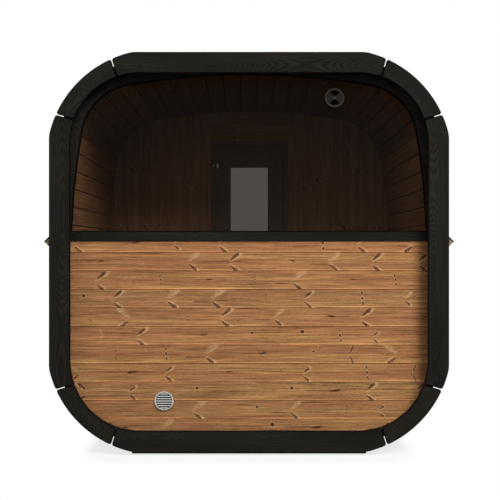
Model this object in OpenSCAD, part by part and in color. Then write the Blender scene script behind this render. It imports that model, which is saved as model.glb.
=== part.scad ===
// Outdoor cabin sauna: a square tunnel of staves with rounded corners, lying on three cradles.
// Each end has a trim ring of eight boards. One end wall is glazed above a rail, the other holds the door.
// X runs across the cabin, +Y from the window end to the door end, and Z up.
// The origin is on the ground under the middle of the cabin. Flat profiles are drawn in X and Z about that middle.

/* [Cabin] */
// Length of the cabin over its two trim rings
cabin_l = 2100; // [1700:10:3600]
// Width and height over a trim ring
ring_w = 2400; // [2300:10:2600]
// Height of the trim rings above the ground
ring_lift = 22; // [14:1:60]

/* [Stave shell] */
// Thickness of the staves
stave_t = 42; // [30:1:56]
// How far the staves lie inside the edge of the trim ring
shell_inset = 10; // [8:1:24]
// Inner radius of the rounded corners
corner_r = 410; // [340:5:460]
// Inner radius of the gently bowed sides
bow_r = 4300; // [3400:50:7000]

/* [Cradles] */
// Length of a cradle across the cabin
cradle_w = 1420; // [1000:2:1460]
// Thickness of a cradle along the cabin
cradle_t = 60; // [40:1:100]
// Distance of an outer cradle behind the face of its ring
cradle_setback = 60; // [40:1:400]
// Chamfer on the lower corners of a cradle
cradle_chamfer = 3; // [2:1:20]

/* [Roof cover] */
// Thickness of the shingle cover
cover_t = 6; // [3:0.5:9]
// How far the drip battens stand out from the shell
batten_out = 38; // [24:1:60]
// Height of the drip battens' edge above the middle of the cabin
batten_z = 57; // [-100:1:160]
// Thickness of the cover where it is turned out over a drip batten
turned_t = 9; // [4:0.5:12]

/* [Trim rings] */
// Thickness of the ring's boards
ring_t = 28; // [18:1:45]
// Width of the ring's straight boards
ring_face = 127; // [110:1:180]
// Radius of the ring's outer corners
ring_outer_r = 660; // [600:1:700]
// How far the outer corner's arc would stand past the straight edges that trim it
ring_trim = 16; // [8:1:24]
// Radius of the ring's inner corners
ring_inner_r = 420; // [300:1:460]
// Angle of a ring's joint, seen from the middle of the shell's rounded corner and from the nearer axis
joint_angle = 17.2; // [10:0.1:30]
// Gap between neighbouring boards of the ring
joint_gap = 6; // [3:0.5:12]

/* [End walls] */
// Depth of an end wall behind the face of its ring
wall_recess = 118; // [80:1:300]
// Thickness of the end walls
wall_t = 42; // [30:1:56]

/* [Window] */
// Height of the rail's lower edge above the middle of the cabin
rail_z = 67; // [-300:1:300]
// Height of the rail
rail_h = 58; // [40:1:120]
// Depth of the rail and of the window frame, from front to back
window_d = 58; // [44:1:80]
// How far the rail and the window frame stand in front of the boards
window_proud = 8; // [0:1:12]
// Width of the window frame
window_frame_w = 52; // [40:1:70]
// Thickness of the window pane
pane_t = 8; // [5:1:12]

/* [Vents] */
// Diameter of the vents over their rims
vent_d = 120; // [110:1:150]
// Diameter of the holes that the vents pass through
vent_hole_d = 104; // [80:1:106]
// Thickness of a vent's rim
vent_rim_t = 10; // [8:0.5:14]
// Wall of the vents' tubes
vent_wall = 2; // [2:0.5:5]
// Distance of the louvred vent's middle from the shell's left side
grille_in = 628; // [450:1:800]
// Height of the louvred vent's middle above the shell's lowest point
grille_up = 236; // [200:1:500]
// Number of louvres
louvres = 7; // [5:1:9]
// Distance of the rotary vent's middle from the shell's right side
rosette_in = 623; // [450:1:800]
// Distance of the rotary vent's middle below the shell's highest point
rosette_down = 202; // [190:1:500]
// Running clearance around the rotary vent's shutter
shutter_gap = 5; // [4:0.5:8]
// Radius of the rotary vent's pin
vent_pin_r = 3; // [2:0.5:4]

/* [Door] */
// Width of the door frame
frame_w = 640; // [560:2:900]
// Height of the wall between the door frame and the shell's highest point
over_door_h = 235; // [150:1:450]
// Height of the door frame's foot above the shell's lowest point
sill_h = 50; // [46:1:90]
// Width of a door jamb
jamb_w = 36; // [24:1:60]
// Height of the door frame's head
head_h = 42; // [24:1:80]
// Height of the threshold
threshold_h = 30; // [18:1:60]
// Depth of the door frame, from the room to the outside
frame_d = 70; // [60:1:110]
// How far the frame stands out in front of the wall
frame_proud = 23; // [0:1:30]
// Thickness of the door leaf
leaf_t = 40; // [32:1:46]
// Gap between the leaf and the frame
leaf_gap = 5; // [5:0.5:8]
// Gap between the leaf and the frame on the latch side
latch_gap = 8; // [8:0.5:12]
// Width of the leaf's glass
door_glass_w = 310; // [200:2:360]
// Height of the leaf's top rail
top_rail_h = 172; // [80:1:260]
// Height of the leaf's bottom rail
bottom_rail_h = 200; // [100:1:400]
// Thickness of the leaf's glass
door_glass_t = 8; // [5:1:12]

/* [Door fittings] */
// Radius of a hinge pin
pin_r = 4; // [3:0.5:6]
// Radius of a hinge knuckle
knuckle_r = 7.5; // [7:0.5:10]
// Height of one knuckle
knuckle_h = 34; // [24:1:50]
// Thickness of the hinge plates
plate_t = 3; // [2:0.5:4]
// Width of the hinge plates
plate_w = 30; // [20:1:34]
// Distance of the outer hinges from the ends of the leaf
hinge_inset = 200; // [120:5:400]
// Length of the pull handles
handle_l = 350; // [200:5:600]
// Diameter of the pull handles
handle_d = 30; // [20:1:36]
// Clear space behind a pull handle
handle_clear = 32; // [28:1:40]
// Diameter of a handle's posts
post_d = 14; // [8:1:18]
// Height of the handles' middle above the foot of the leaf
handle_up = 910; // [600:5:1300]
// Distance of the door catch below the top of the leaf
catch_down = 161; // [40:5:400]

/* [Clearances] */
// Gap left where one piece is seated against another's curved face
seat_gap = 0.3; // [0.2:0.05:0.5]
// Radial clearance around a pin
pin_gap = 0.1; // [0.05:0.05:0.3]

/* [Hidden] */

// Facets of the long arcs, of the corners' arcs and of small round parts
bow_fn = 720;
corner_fn = 180;
small_fn = 48;

// The cabin
mid_z = ring_lift + ring_w / 2;
shell_l = cabin_l - 2 * ring_t;
shell_out = ring_w / 2 - shell_inset;
shell_in = shell_out - stave_t;

// The staves' section: four bows joined by four corner arcs that are tangent to them
bow_c = bow_r - shell_in;
corner_c = (sqrt(2 * pow(bow_r - corner_r, 2) - pow(bow_c, 2)) - bow_c) / 2;
bow_angle = atan(corner_c / (corner_c + bow_c));

// The roof cover and the drip battens
cover_r = stave_t + seat_gap;
batten_x = shell_out + seat_gap;

// The trim ring
ring_out = ring_w / 2;
ring_in = ring_out - ring_face;
ring_outer_c = ring_out - ring_outer_r + ring_trim;
// The inner arc runs a little past the straight edge, so that it crosses the edge
arc_past = 1;
ring_inner_c = ring_in - ring_inner_r + arc_past;
ring_back = cabin_l / 2 - ring_t;

// The end walls
wall_face = cabin_l / 2 - wall_recess;
wall_back = wall_face - wall_t;

// The window
rail_top = rail_z + rail_h;
window_face = wall_face + window_proud;
window_back = window_face - window_d;
pane_face = (window_face + window_back) / 2 + pane_t / 2;
pane_back = pane_face - pane_t;

// The vents
vent_tube_r = vent_hole_d / 2 - seat_gap;
vent_bore_r = vent_tube_r - vent_wall;
grille_x = shell_in - grille_in;
grille_z = shell_in - grille_up;
rosette_x = shell_in - rosette_in;
rosette_z = shell_in - rosette_down;
louvre_t = 1.6;
louvre_tilt = 24;
louvre_pitch = 2 * vent_bore_r / louvres;
rosette_plate_t = 3;
rosette_hub_r = 11;
rosette_rib = 2;
shutter_r = vent_bore_r - shutter_gap;
shutter_t = 2;
shutter_hub_r = 8;
shutter_hub_l = shutter_gap + shutter_t + 4;
knob_w = 6;
knob_h = 8;
knob_l = 2 * shutter_r - 16;
pin_head_t = 2;
pin_head_r = vent_pin_r + 2;
rosette_plate_y = pane_face + vent_rim_t - rosette_plate_t;

// The door frame and the leaf
frame_top = shell_in - over_door_h;
frame_foot = shell_in - sill_h;
frame_face = wall_face + frame_proud;
frame_back = frame_face - frame_d;
opening_x = frame_w / 2 - jamb_w;
opening_top = frame_top - head_h;
opening_foot = -frame_foot + threshold_h;
leaf_left = -opening_x + latch_gap;
leaf_right = opening_x - leaf_gap;
leaf_top = opening_top - leaf_gap;
leaf_foot = opening_foot + leaf_gap;
leaf_face = frame_face;
leaf_back = leaf_face - leaf_t;
glass_top = leaf_top - top_rail_h;
glass_foot = leaf_foot + bottom_rail_h;

// The door's fittings
hinge_x = opening_x - leaf_gap / 2;
knuckle_off = knuckle_r + 0.5;
hinge_y = frame_face + knuckle_off;
hinge_zs = [leaf_foot + hinge_inset, (leaf_foot + leaf_top) / 2, leaf_top - hinge_inset];
stile_mid = (leaf_left - door_glass_w / 2) / 2;
post_reach = handle_clear + handle_d / 2;
post_z = handle_l / 2 - 45;
handle_z = leaf_foot + handle_up;
catch_z = leaf_top - catch_down;
catch_r = 7;
catch_t = 5;
lug_r = 20;
lug_t = 4;

// A flat profile in X and Z, about the cabin's middle, drawn out from y0 to y1
module slab(y0, y1) {
    translate([0, y1, mid_z])
        rotate([90, 0, 0])
            linear_extrude(y1 - y0)
                children();
}

// A rectangle given by its two corners
module area(x0, z0, x1, z1) {
    translate([x0, z0]) square([x1 - x0, z1 - z0]);
}

// Everything above a height
module above(z) {
    area(-ring_w, z, ring_w, ring_w);
}

// The bowed side at the top of a section, between two depths outside the shell's inner face
module bow(from, to) {
    reach = 1.2 * (bow_r + to);
    intersection() {
        translate([0, -bow_c]) difference() {
            circle(r = bow_r + to, $fn = bow_fn);
            circle(r = bow_r + from, $fn = bow_fn);
        }
        polygon([[0, -bow_c],
                 [reach * sin(bow_angle), reach * cos(bow_angle) - bow_c],
                 [-reach * sin(bow_angle), reach * cos(bow_angle) - bow_c]]);
    }
}

// The rounded corner at the top right of a section
module corner(from, to) {
    reach = 1.6 * (corner_r + to);
    translate([corner_c, corner_c]) intersection() {
        difference() {
            circle(r = corner_r + to, $fn = corner_fn);
            circle(r = corner_r + from, $fn = corner_fn);
        }
        polygon([[0, 0],
                 [reach * cos(bow_angle), reach * sin(bow_angle)],
                 [reach * sin(bow_angle), reach * cos(bow_angle)]]);
    }
}

// The shell's clear inside as one outline, drawn in by a margin
function inside_points(margin, steps) = [
    for (turn = [0:90:270]) each concat(
        [for (i = [0:steps - 1])
            let (a = -bow_angle + 2 * bow_angle * i / steps, r = bow_r - margin)
            turned([r * cos(a) - bow_c, r * sin(a)], turn)],
        [for (i = [0:steps - 1])
            let (a = bow_angle + (90 - 2 * bow_angle) * i / steps, r = corner_r - margin)
            turned([corner_c + r * cos(a), corner_c + r * sin(a)], turn)])];

function turned(p, a) = [p[0] * cos(a) - p[1] * sin(a), p[0] * sin(a) + p[1] * cos(a)];

module inside(margin) {
    polygon(inside_points(margin, 16));
}

// A round, squared profile: straight edges at half, and corner arcs about c
module rounded(half, c, r) {
    difference() {
        square(2 * half, center = true);
        for (turn = [0:90:270]) rotate(turn) difference() {
            area(c, c, 1.2 * half, 1.2 * half);
            translate([c, c]) circle(r = r, $fn = corner_fn);
        }
    }
}

// The ring of boards, still without its joints
module ring_profile() {
    difference() {
        rounded(ring_out, ring_outer_c, ring_outer_r);
        rounded(ring_in, ring_inner_c, ring_inner_r);
    }
}

// The board at the top of a ring, with its ends cut along the joints
module ring_straight() {
    start = corner_c - joint_gap / 2 / cos(joint_angle);
    reach = ring_w / 2;
    lean = reach * tan(joint_angle);
    intersection() {
        ring_profile();
        polygon([[start, corner_c],
                 [start + lean, corner_c + reach],
                 [-start - lean, corner_c + reach],
                 [-start, corner_c]]);
    }
}

// The board at the top right corner of a ring
module ring_corner() {
    apex = corner_c + joint_gap / 2 / sin(45 - joint_angle) * cos(45);
    reach = ring_w / 2;
    intersection() {
        ring_profile();
        polygon([[apex, apex],
                 [apex + reach * cos(joint_angle), apex + reach * sin(joint_angle)],
                 [apex + reach, apex + reach],
                 [apex + reach * sin(joint_angle), apex + reach * cos(joint_angle)]]);
    }
}

// One ring's boards: the given turns of a profile, at the front or the rear
module ring_boards(front, turns) {
    y0 = front ? -cabin_l / 2 : ring_back;
    color("#211f1c") slab(y0, y0 + ring_t) for (turn = turns) rotate(turn) children();
}

module cradle_at(y) {
    half = cradle_w / 2;
    foot = -mid_z;
    slab(y - cradle_t / 2, y + cradle_t / 2) difference() {
        polygon([[-half + cradle_chamfer, foot], [half - cradle_chamfer, foot],
                 [half, foot + cradle_chamfer], [half, -shell_in],
                 [-half, -shell_in], [-half, foot + cradle_chamfer]]);
        translate([0, bow_c]) circle(r = bow_r + stave_t + seat_gap, $fn = bow_fn);
    }
}

module cradles() {
    outer = cabin_l / 2 - cradle_setback - cradle_t / 2;
    color("#1d1c1a") for (y = [-outer, 0, outer]) cradle_at(y);
}

module staves() {
    color("#a8744b") slab(-shell_l / 2, shell_l / 2) children();
}

module shell_floor() { staves() rotate(180) bow(0, stave_t); }

module shell_roof() { staves() bow(0, stave_t); }

module shell_wall_left() { staves() rotate(90) bow(0, stave_t); }

module shell_wall_right() { staves() rotate(-90) bow(0, stave_t); }

module shell_corners_upper() { staves() for (turn = [0, 90]) rotate(turn) corner(0, stave_t); }

module shell_corners_lower() { staves() for (turn = [180, 270]) rotate(turn) corner(0, stave_t); }

module cover() {
    color("#2b2a28") slab(-shell_l / 2, shell_l / 2) children();
}

module roof_cover_top() { cover() bow(cover_r, cover_r + cover_t); }

module roof_cover_corners() {
    cover() for (turn = [0, 90]) rotate(turn) corner(cover_r, cover_r + cover_t);
}

// The cover runs down the side and out over the upper face of the drip batten
module roof_cover_side() {
    lap = 24;
    foot = batten_z + batten_out;
    edge = turned_t * cos(45);
    intersection() {
        rotate(-90) bow(cover_r, cover_r + cover_t);
        above(foot + lap / 2);
    }
    polygon([[batten_x, foot],
             [batten_x + batten_out, batten_z],
             [batten_x + batten_out + edge, batten_z + edge],
             [batten_x + cover_t, foot + 2 * edge - cover_t],
             [batten_x + cover_t, foot + lap],
             [batten_x, foot + lap]]);
}

module roof_cover_sides() {
    cover() {
        roof_cover_side();
        mirror([1, 0]) roof_cover_side();
    }
}

module batten_profile() {
    polygon([[batten_x, batten_z - batten_out],
             [batten_x + batten_out, batten_z],
             [batten_x, batten_z + batten_out]]);
}

module drip_battens() {
    color("#8a5f3e") slab(-shell_l / 2, shell_l / 2) {
        batten_profile();
        mirror([1, 0]) batten_profile();
    }
}

module trim_front_top() { ring_boards(true, [0]) ring_straight(); }

module trim_front_bottom() { ring_boards(true, [180]) ring_straight(); }

module trim_front_sides() { ring_boards(true, [90, 270]) ring_straight(); }

module trim_front_corners() { ring_boards(true, [0:90:270]) ring_corner(); }

module trim_rear_top() { ring_boards(false, [0]) ring_straight(); }

module trim_rear_bottom() { ring_boards(false, [180]) ring_straight(); }

module trim_rear_sides() { ring_boards(false, [90, 270]) ring_straight(); }

module trim_rear_corners() { ring_boards(false, [0:90:270]) ring_corner(); }

module window_wall() {
    color("#996c47") slab(-wall_face, -wall_back) difference() {
        inside(seat_gap);
        above(rail_z);
        translate([-grille_x, -grille_z]) circle(d = vent_hole_d, $fn = small_fn);
    }
}

module window_rail() {
    color("#252320") slab(-window_face, -window_back) intersection() {
        inside(seat_gap);
        area(-ring_w, rail_z, ring_w, rail_top);
    }
}

module window_frame_sides() {
    color("#211f1c") slab(-window_face, -window_back) for (turn = [-90, 90]) intersection() {
        rotate(turn) bow(-window_frame_w, -seat_gap);
        above(rail_top);
    }
}

module window_frame_top() {
    color("#211f1c") slab(-window_face, -window_back) bow(-window_frame_w, -seat_gap);
}

module window_frame_corners() {
    color("#211f1c") slab(-window_face, -window_back) for (turn = [0, 90])
        rotate(turn) corner(-window_frame_w, -seat_gap);
}

module window_glass() {
    color("#5d6163", 0.5) slab(-pane_face, -pane_back) difference() {
        intersection() {
            inside(window_frame_w + seat_gap);
            above(rail_top);
        }
        translate([rosette_x, rosette_z]) circle(d = vent_hole_d, $fn = small_fn);
    }
}

// Places a round fitting: its axis along +Y, its zero at y
module facing_in(x, y, z) {
    translate([x, y, mid_z + z]) rotate([-90, 0, 0]) children();
}

module vent_grille() {
    color("#b9babb") facing_in(-grille_x, -wall_face - vent_rim_t, -grille_z) {
        difference() {
            union() {
                cylinder(d = vent_d, h = vent_rim_t, $fn = small_fn);
                cylinder(r = vent_tube_r, h = vent_rim_t + wall_t, $fn = small_fn);
            }
            translate([0, 0, -1]) cylinder(r = vent_bore_r, h = vent_rim_t + wall_t + 2, $fn = small_fn);
        }
        intersection() {
            cylinder(r = vent_bore_r + vent_wall / 2, h = vent_rim_t, $fn = small_fn);
            for (i = [0:louvres - 1])
                translate([0, (i - (louvres - 1) / 2) * louvre_pitch, vent_rim_t / 2])
                    rotate([louvre_tilt, 0, 0])
                        cube([vent_d, louvre_t, 2 * vent_rim_t], center = true);
        }
    }
}

// A wedge that opens to half_angle each side of the profile's +Y axis
module wedge(half_angle, reach) {
    polygon([[0, 0], [reach * sin(half_angle), reach * cos(half_angle)],
             [-reach * sin(half_angle), reach * cos(half_angle)]]);
}

// One of the rotary vent's two openings, a quarter between its hub and its rim
module rosette_opening(margin) {
    intersection() {
        difference() {
            circle(r = shutter_r - margin, $fn = small_fn);
            circle(r = rosette_hub_r + margin, $fn = small_fn);
        }
        translate([0, 1.4 * (margin + rosette_rib / 2)]) wedge(45, vent_d);
    }
}

module vent_rosette() {
    depth = 2 * vent_rim_t + pane_t;
    pin_l = shutter_hub_l + 2 * seat_gap;
    color("#45474a") facing_in(rosette_x, -pane_face - vent_rim_t, rosette_z) {
        difference() {
            union() {
                cylinder(d = vent_d, h = vent_rim_t, $fn = small_fn);
                cylinder(r = vent_tube_r, h = depth, $fn = small_fn);
                translate([0, 0, vent_rim_t + pane_t]) cylinder(d = vent_d, h = vent_rim_t, $fn = small_fn);
            }
            translate([0, 0, rosette_plate_t]) cylinder(r = vent_bore_r, h = depth, $fn = small_fn);
            for (turn = [0, 180]) rotate(turn) translate([0, 0, -1])
                linear_extrude(rosette_plate_t + 2) rosette_opening(rosette_rib / 2);
        }
        translate([0, 0, rosette_plate_t]) cylinder(r = vent_pin_r, h = pin_l, $fn = small_fn);
        translate([0, 0, rosette_plate_t + pin_l]) cylinder(r = pin_head_r, h = pin_head_t, $fn = small_fn);
    }
}

// At rest the shutter's two blades stand behind the solid quarters, so that the vent is open
module vent_shutter() {
    color("#3a3c3e") facing_in(rosette_x, -rosette_plate_y + seat_gap, rosette_z) difference() {
        union() {
            cylinder(r = shutter_hub_r, h = shutter_hub_l, $fn = small_fn);
            translate([0, 0, shutter_gap]) linear_extrude(shutter_t) for (turn = [90, 270])
                rotate(turn) intersection() {
                    circle(r = shutter_r, $fn = small_fn);
                    wedge(45, vent_d);
                }
            for (side = [-1, 1])
                translate([side * (knob_l / 4 + shutter_hub_r / 2), 0, shutter_gap + shutter_t + knob_h / 2])
                    cube([knob_l / 2 - shutter_hub_r + 2, knob_w, knob_h], center = true);
        }
        translate([0, 0, -1]) cylinder(r = vent_pin_r + pin_gap, h = shutter_hub_l + 2, $fn = small_fn);
    }
}

module door_wall(x0, z0, x1, z1) {
    color("#8f6442") slab(wall_back, wall_face) intersection() {
        inside(seat_gap);
        area(x0, z0, x1, z1);
    }
}

module door_wall_left() { door_wall(-ring_w, -ring_w, -frame_w / 2, ring_w); }

module door_wall_right() { door_wall(frame_w / 2, -ring_w, ring_w, ring_w); }

module door_wall_over() { door_wall(-frame_w / 2, frame_top, frame_w / 2, ring_w); }

module door_wall_sill() { door_wall(-frame_w / 2, -ring_w, frame_w / 2, -frame_foot); }

module door_frame_bar(x0, z0, x1, z1) {
    color("#1f1d1b") slab(frame_back, frame_face) area(x0, z0, x1, z1);
}

module door_jambs() {
    for (side = [0, 1]) mirror([side, 0, 0])
        door_frame_bar(opening_x, opening_foot, frame_w / 2, opening_top);
}

module door_head() { door_frame_bar(-frame_w / 2, opening_top, frame_w / 2, frame_top); }

module door_threshold() { door_frame_bar(-frame_w / 2, -frame_foot, frame_w / 2, opening_foot); }

module leaf_bar(x0, z0, x1, z1) {
    color("#24211e") slab(leaf_back, leaf_face) area(x0, z0, x1, z1);
}

module leaf_stile_latch() { leaf_bar(leaf_left, leaf_foot, -door_glass_w / 2, leaf_top); }

module leaf_stile_hinge() { leaf_bar(door_glass_w / 2, leaf_foot, leaf_right, leaf_top); }

module leaf_rail_top() { leaf_bar(-door_glass_w / 2, glass_top, door_glass_w / 2, leaf_top); }

module leaf_rail_bottom() { leaf_bar(-door_glass_w / 2, leaf_foot, door_glass_w / 2, glass_foot); }

module leaf_glass() {
    mid = (leaf_face + leaf_back) / 2;
    color("#5d6163", 0.5) slab(mid - door_glass_t / 2, mid + door_glass_t / 2)
        area(-door_glass_w / 2, glass_foot, door_glass_w / 2, glass_top);
}

// The jamb's half of each hinge: a plate, the lower knuckle and the pin
module hinges_frame_side() {
    color("#9a9b9c") for (z = hinge_zs) translate([hinge_x, hinge_y, mid_z + z - knuckle_h]) {
        cylinder(r = knuckle_r, h = knuckle_h, $fn = small_fn);
        cylinder(r = pin_r, h = 2 * knuckle_h - 4, $fn = small_fn);
        translate([0, -knuckle_off, 0]) cube([plate_w, plate_t, knuckle_h]);
    }
}

// The leaf's half of each hinge: a plate and the upper knuckle, which lifts off the pin
module hinges_leaf_side() {
    color("#9a9b9c") for (z = hinge_zs) translate([hinge_x, hinge_y, mid_z + z + seat_gap]) difference() {
        union() {
            cylinder(r = knuckle_r, h = knuckle_h, $fn = small_fn);
            translate([-plate_w, -knuckle_off, 0]) cube([plate_w, plate_t, knuckle_h]);
        }
        translate([0, 0, -1]) cylinder(r = pin_r + pin_gap, h = knuckle_h + 2, $fn = small_fn);
    }
}

// A pull: an upright grip on two posts that stand on the leaf's face
module pull() {
    translate([0, post_reach, -handle_l / 2]) cylinder(d = handle_d, h = handle_l, $fn = small_fn);
    for (side = [-1, 1]) translate([0, 0, side * post_z])
        rotate([-90, 0, 0]) cylinder(d = post_d, h = post_reach, $fn = small_fn);
}

module door_handles() {
    color("#8a5f3e") {
        translate([stile_mid, leaf_face, mid_z + handle_z]) pull();
        translate([stile_mid, leaf_back, mid_z + handle_z]) mirror([0, 1, 0]) pull();
    }
}

module catch_button() {
    color("#c2c3c4") facing_in(-opening_x - catch_r - 1, frame_back - catch_t, catch_z)
        cylinder(r = catch_r, h = catch_t, $fn = small_fn);
}

// The lug is a crescent on the leaf, hollowed round the button
module catch_lug() {
    button_x = -opening_x - catch_r - 1;
    lug_x = button_x + 1.1 * lug_r;
    color("#c2c3c4") facing_in(lug_x, leaf_back - lug_t, catch_z) difference() {
        cylinder(r = lug_r, h = lug_t, $fn = small_fn);
        translate([button_x - lug_x, 0, -1]) cylinder(r = 1.1 * lug_r, h = lug_t + 2, $fn = small_fn);
        translate([leaf_left - lug_x - lug_r, -lug_r, -1]) cube([lug_r + 1, 2 * lug_r, lug_t + 2]);
    }
}

cradles();
shell_floor();
shell_roof();
shell_wall_left();
shell_wall_right();
shell_corners_upper();
shell_corners_lower();
roof_cover_top();
roof_cover_corners();
roof_cover_sides();
drip_battens();
trim_front_top();
trim_front_bottom();
trim_front_sides();
trim_front_corners();
trim_rear_top();
trim_rear_bottom();
trim_rear_sides();
trim_rear_corners();
window_wall();
window_rail();
window_frame_sides();
window_frame_top();
window_frame_corners();
window_glass();
vent_grille();
vent_rosette();
vent_shutter();
door_wall_left();
door_wall_right();
door_wall_over();
door_wall_sill();
door_jambs();
door_head();
door_threshold();
leaf_stile_latch();
leaf_stile_hinge();
leaf_rail_top();
leaf_rail_bottom();
leaf_glass();
hinges_frame_side();
hinges_leaf_side();
door_handles();
catch_button();
catch_lug();
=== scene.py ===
# %% [markdown]
# # Dressing an outdoor cabin sauna
#
# The construction is already drawn and packed: a square tunnel of staves with rounded corners, closed by a
# window wall and a door wall. These cells give it its looks. Lengths are in metres, X runs across the cabin,
# +Y from the window end to the door end, and Z up.
#
# Every new piece stands in for one or more pieces of the construction, or is a small thing fixed to one. It
# moves with the same body, and keeps inside the same outline.

import math
import random

import bmesh
import bpy
from mathutils import Matrix, Vector


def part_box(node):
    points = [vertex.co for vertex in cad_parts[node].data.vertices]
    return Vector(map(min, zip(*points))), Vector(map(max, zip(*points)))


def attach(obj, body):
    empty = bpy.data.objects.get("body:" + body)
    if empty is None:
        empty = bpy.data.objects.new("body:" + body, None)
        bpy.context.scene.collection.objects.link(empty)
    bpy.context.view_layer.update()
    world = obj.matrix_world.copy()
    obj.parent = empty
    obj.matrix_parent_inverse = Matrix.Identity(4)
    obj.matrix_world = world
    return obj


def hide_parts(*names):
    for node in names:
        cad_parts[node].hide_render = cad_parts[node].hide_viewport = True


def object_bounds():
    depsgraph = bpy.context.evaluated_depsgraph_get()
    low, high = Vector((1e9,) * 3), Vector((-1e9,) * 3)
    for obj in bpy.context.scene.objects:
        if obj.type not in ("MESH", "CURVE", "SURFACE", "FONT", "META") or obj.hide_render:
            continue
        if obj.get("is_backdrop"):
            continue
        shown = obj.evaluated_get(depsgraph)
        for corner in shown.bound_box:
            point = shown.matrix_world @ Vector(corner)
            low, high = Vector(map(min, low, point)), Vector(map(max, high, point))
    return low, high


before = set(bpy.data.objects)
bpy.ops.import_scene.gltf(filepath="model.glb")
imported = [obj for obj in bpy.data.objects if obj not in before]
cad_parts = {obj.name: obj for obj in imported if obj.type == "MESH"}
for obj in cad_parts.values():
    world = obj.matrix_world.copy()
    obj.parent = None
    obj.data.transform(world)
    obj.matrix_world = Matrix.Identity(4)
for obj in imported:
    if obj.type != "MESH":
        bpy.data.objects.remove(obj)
cad_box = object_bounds()
print("pieces in the construction:", len(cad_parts))

# %% [markdown]
# ## Middle and reach of the cabin
#
# Almost everything is set out from the cabin's middle, which lies half way up the trim rings. The staves end
# where the rings begin. Both places are read from the construction, so that the looks follow it.

# %% Middle and reach of the cabin
ring_low, ring_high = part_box("trim_front_bottom")[0].z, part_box("trim_front_top")[1].z
middle = Vector((0, 0, (ring_low + ring_high) / 2))
shell_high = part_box("shell_roof")[1]
stave_end = shell_high.y
print("middle of the cabin at", round(middle.z, 4), "and staves end at", round(stave_end, 4))

# %% [markdown]
# ## Shader sums
#
# A Blender material is a net of nodes. Wiring dozens of Math nodes by hand hides the idea behind them, so a
# small class stands for one output of a node, and ordinary Python signs between two such outputs add the Math
# nodes. A second class holds one material and is the only place where nodes are made.

# %% A wire in a shader
class Wire:
    """One output of a shader node, which Python's signs can work with."""

    def __init__(self, finish, socket):
        self.finish = finish
        self.socket = socket

    def work(self, operation, *others):
        values = dict(enumerate((self,) + others))
        return self.finish.node("ShaderNodeMath", {"operation": operation}, values)

    def __add__(self, other):
        return self.work("ADD", other)

    __radd__ = __add__

    def __sub__(self, other):
        return self.work("SUBTRACT", other)

    def __rsub__(self, other):
        return self.finish.node("ShaderNodeMath", {"operation": "SUBTRACT"}, {0: other, 1: self})

    def __mul__(self, other):
        return self.work("MULTIPLY", other)

    __rmul__ = __mul__

    def __truediv__(self, other):
        return self.work("DIVIDE", other)

    def __abs__(self):
        return self.work("ABSOLUTE")

    def larger(self, other):
        return self.work("MAXIMUM", other)

    def rise(self, start, end):
        """0 up to start, 1 from end on, and a smooth slope between the two."""
        settings = {"interpolation_type": "SMOOTHSTEP"}
        return self.finish.node("ShaderNodeMapRange", settings, {0: self, 1: start, 2: end})

    def parts(self, *numbers):
        """The X, Y or Z of a vector, by number: one wire, or a list of several."""
        out = numbers if len(numbers) > 1 else numbers[0]
        return self.finish.node("ShaderNodeSeparateXYZ", {}, {0: self}, out)


print("a wire knows:", [name for name in vars(Wire) if not name.startswith("_")])


# %% A finish: one material and its nodes
def colour(red, green, blue):
    """A linear colour, opaque."""
    return (red, green, blue, 1.0)


class Finish:
    """A material, or the world, with the one method that adds nodes to it."""

    def __init__(self, owner):
        self.owner = owner
        owner.use_nodes = True
        self.tree = owner.node_tree
        self.tree.nodes.clear()

    def node(self, kind, settings=(), sockets=(), out=0):
        """Makes a node. Its settings come first, then each socket gets a value or a link."""
        made = self.tree.nodes.new(kind)
        for name, value in dict(settings).items():
            setattr(made, name, value)
        for name, value in dict(sockets).items():
            if isinstance(value, Wire):
                self.tree.links.new(value.socket, made.inputs[name])
            else:
                made.inputs[name].default_value = value
        if isinstance(out, tuple):
            return [Wire(self, made.outputs[name]) for name in out]
        return Wire(self, made.outputs[out]) if len(made.outputs) else made

    def mix(self, factor, first, second):
        """Blends two colours."""
        return self.node("ShaderNodeMix", {"data_type": "RGBA"}, {0: factor, 6: first, 7: second}, 2)

    def vector_work(self, operation, first, second, out=0):
        return self.node("ShaderNodeVectorMath", {"operation": operation}, {0: first, 1: second}, out)

    def scaled(self, tint, amount):
        """Makes a colour lighter or darker."""
        if isinstance(tint, tuple):
            tint = tint[:3]
        return self.node("ShaderNodeVectorMath", {"operation": "SCALE"}, {0: tint, 3: amount})

    def vector(self, x, y, z):
        return self.node("ShaderNodeCombineXYZ", {}, {0: x, 1: y, 2: z})

    def noise(self, vector, detail=2.0, roughness=0.55, scale=1.0):
        """Soft noise around 0.5, at the scale of the vector that it is given."""
        sockets = {"Vector": vector, "Scale": scale, "Detail": detail, "Roughness": roughness}
        return self.node("ShaderNodeTexNoise", {}, sockets)

    def dice(self, number):
        """A random value from 0 to 1 for each whole number."""
        return self.node("ShaderNodeTexWhiteNoise", {"noise_dimensions": "1D"}, {"W": number + 0.5})

    def place(self):
        """The place of a point on the object, in metres."""
        return self.node("ShaderNodeTexCoord", {}, {}, "Object")

    def relief(self, height, depth, strength):
        """Small bumps: depth is how far they reach in metres, where the height is 1."""
        return self.node("ShaderNodeBump", {}, {"Height": height, "Distance": depth, "Strength": strength})

    def surface(self, base, roughness, **others):
        """Ends the net with a surface of this colour and roughness."""
        sockets = {"Base Color": base, "Roughness": roughness}
        sockets.update({name.replace("_", " "): value for name, value in others.items()})
        self.show(self.node("ShaderNodeBsdfPrincipled", {}, sockets))

    def show(self, shader):
        """Ends the net: the shader becomes what the surface looks like."""
        self.node("ShaderNodeOutputMaterial", {}, {"Surface": shader})


def new_finish(name):
    finish = Finish(bpy.data.materials.new(name))
    print("finish begun:", name)
    return finish


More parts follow.
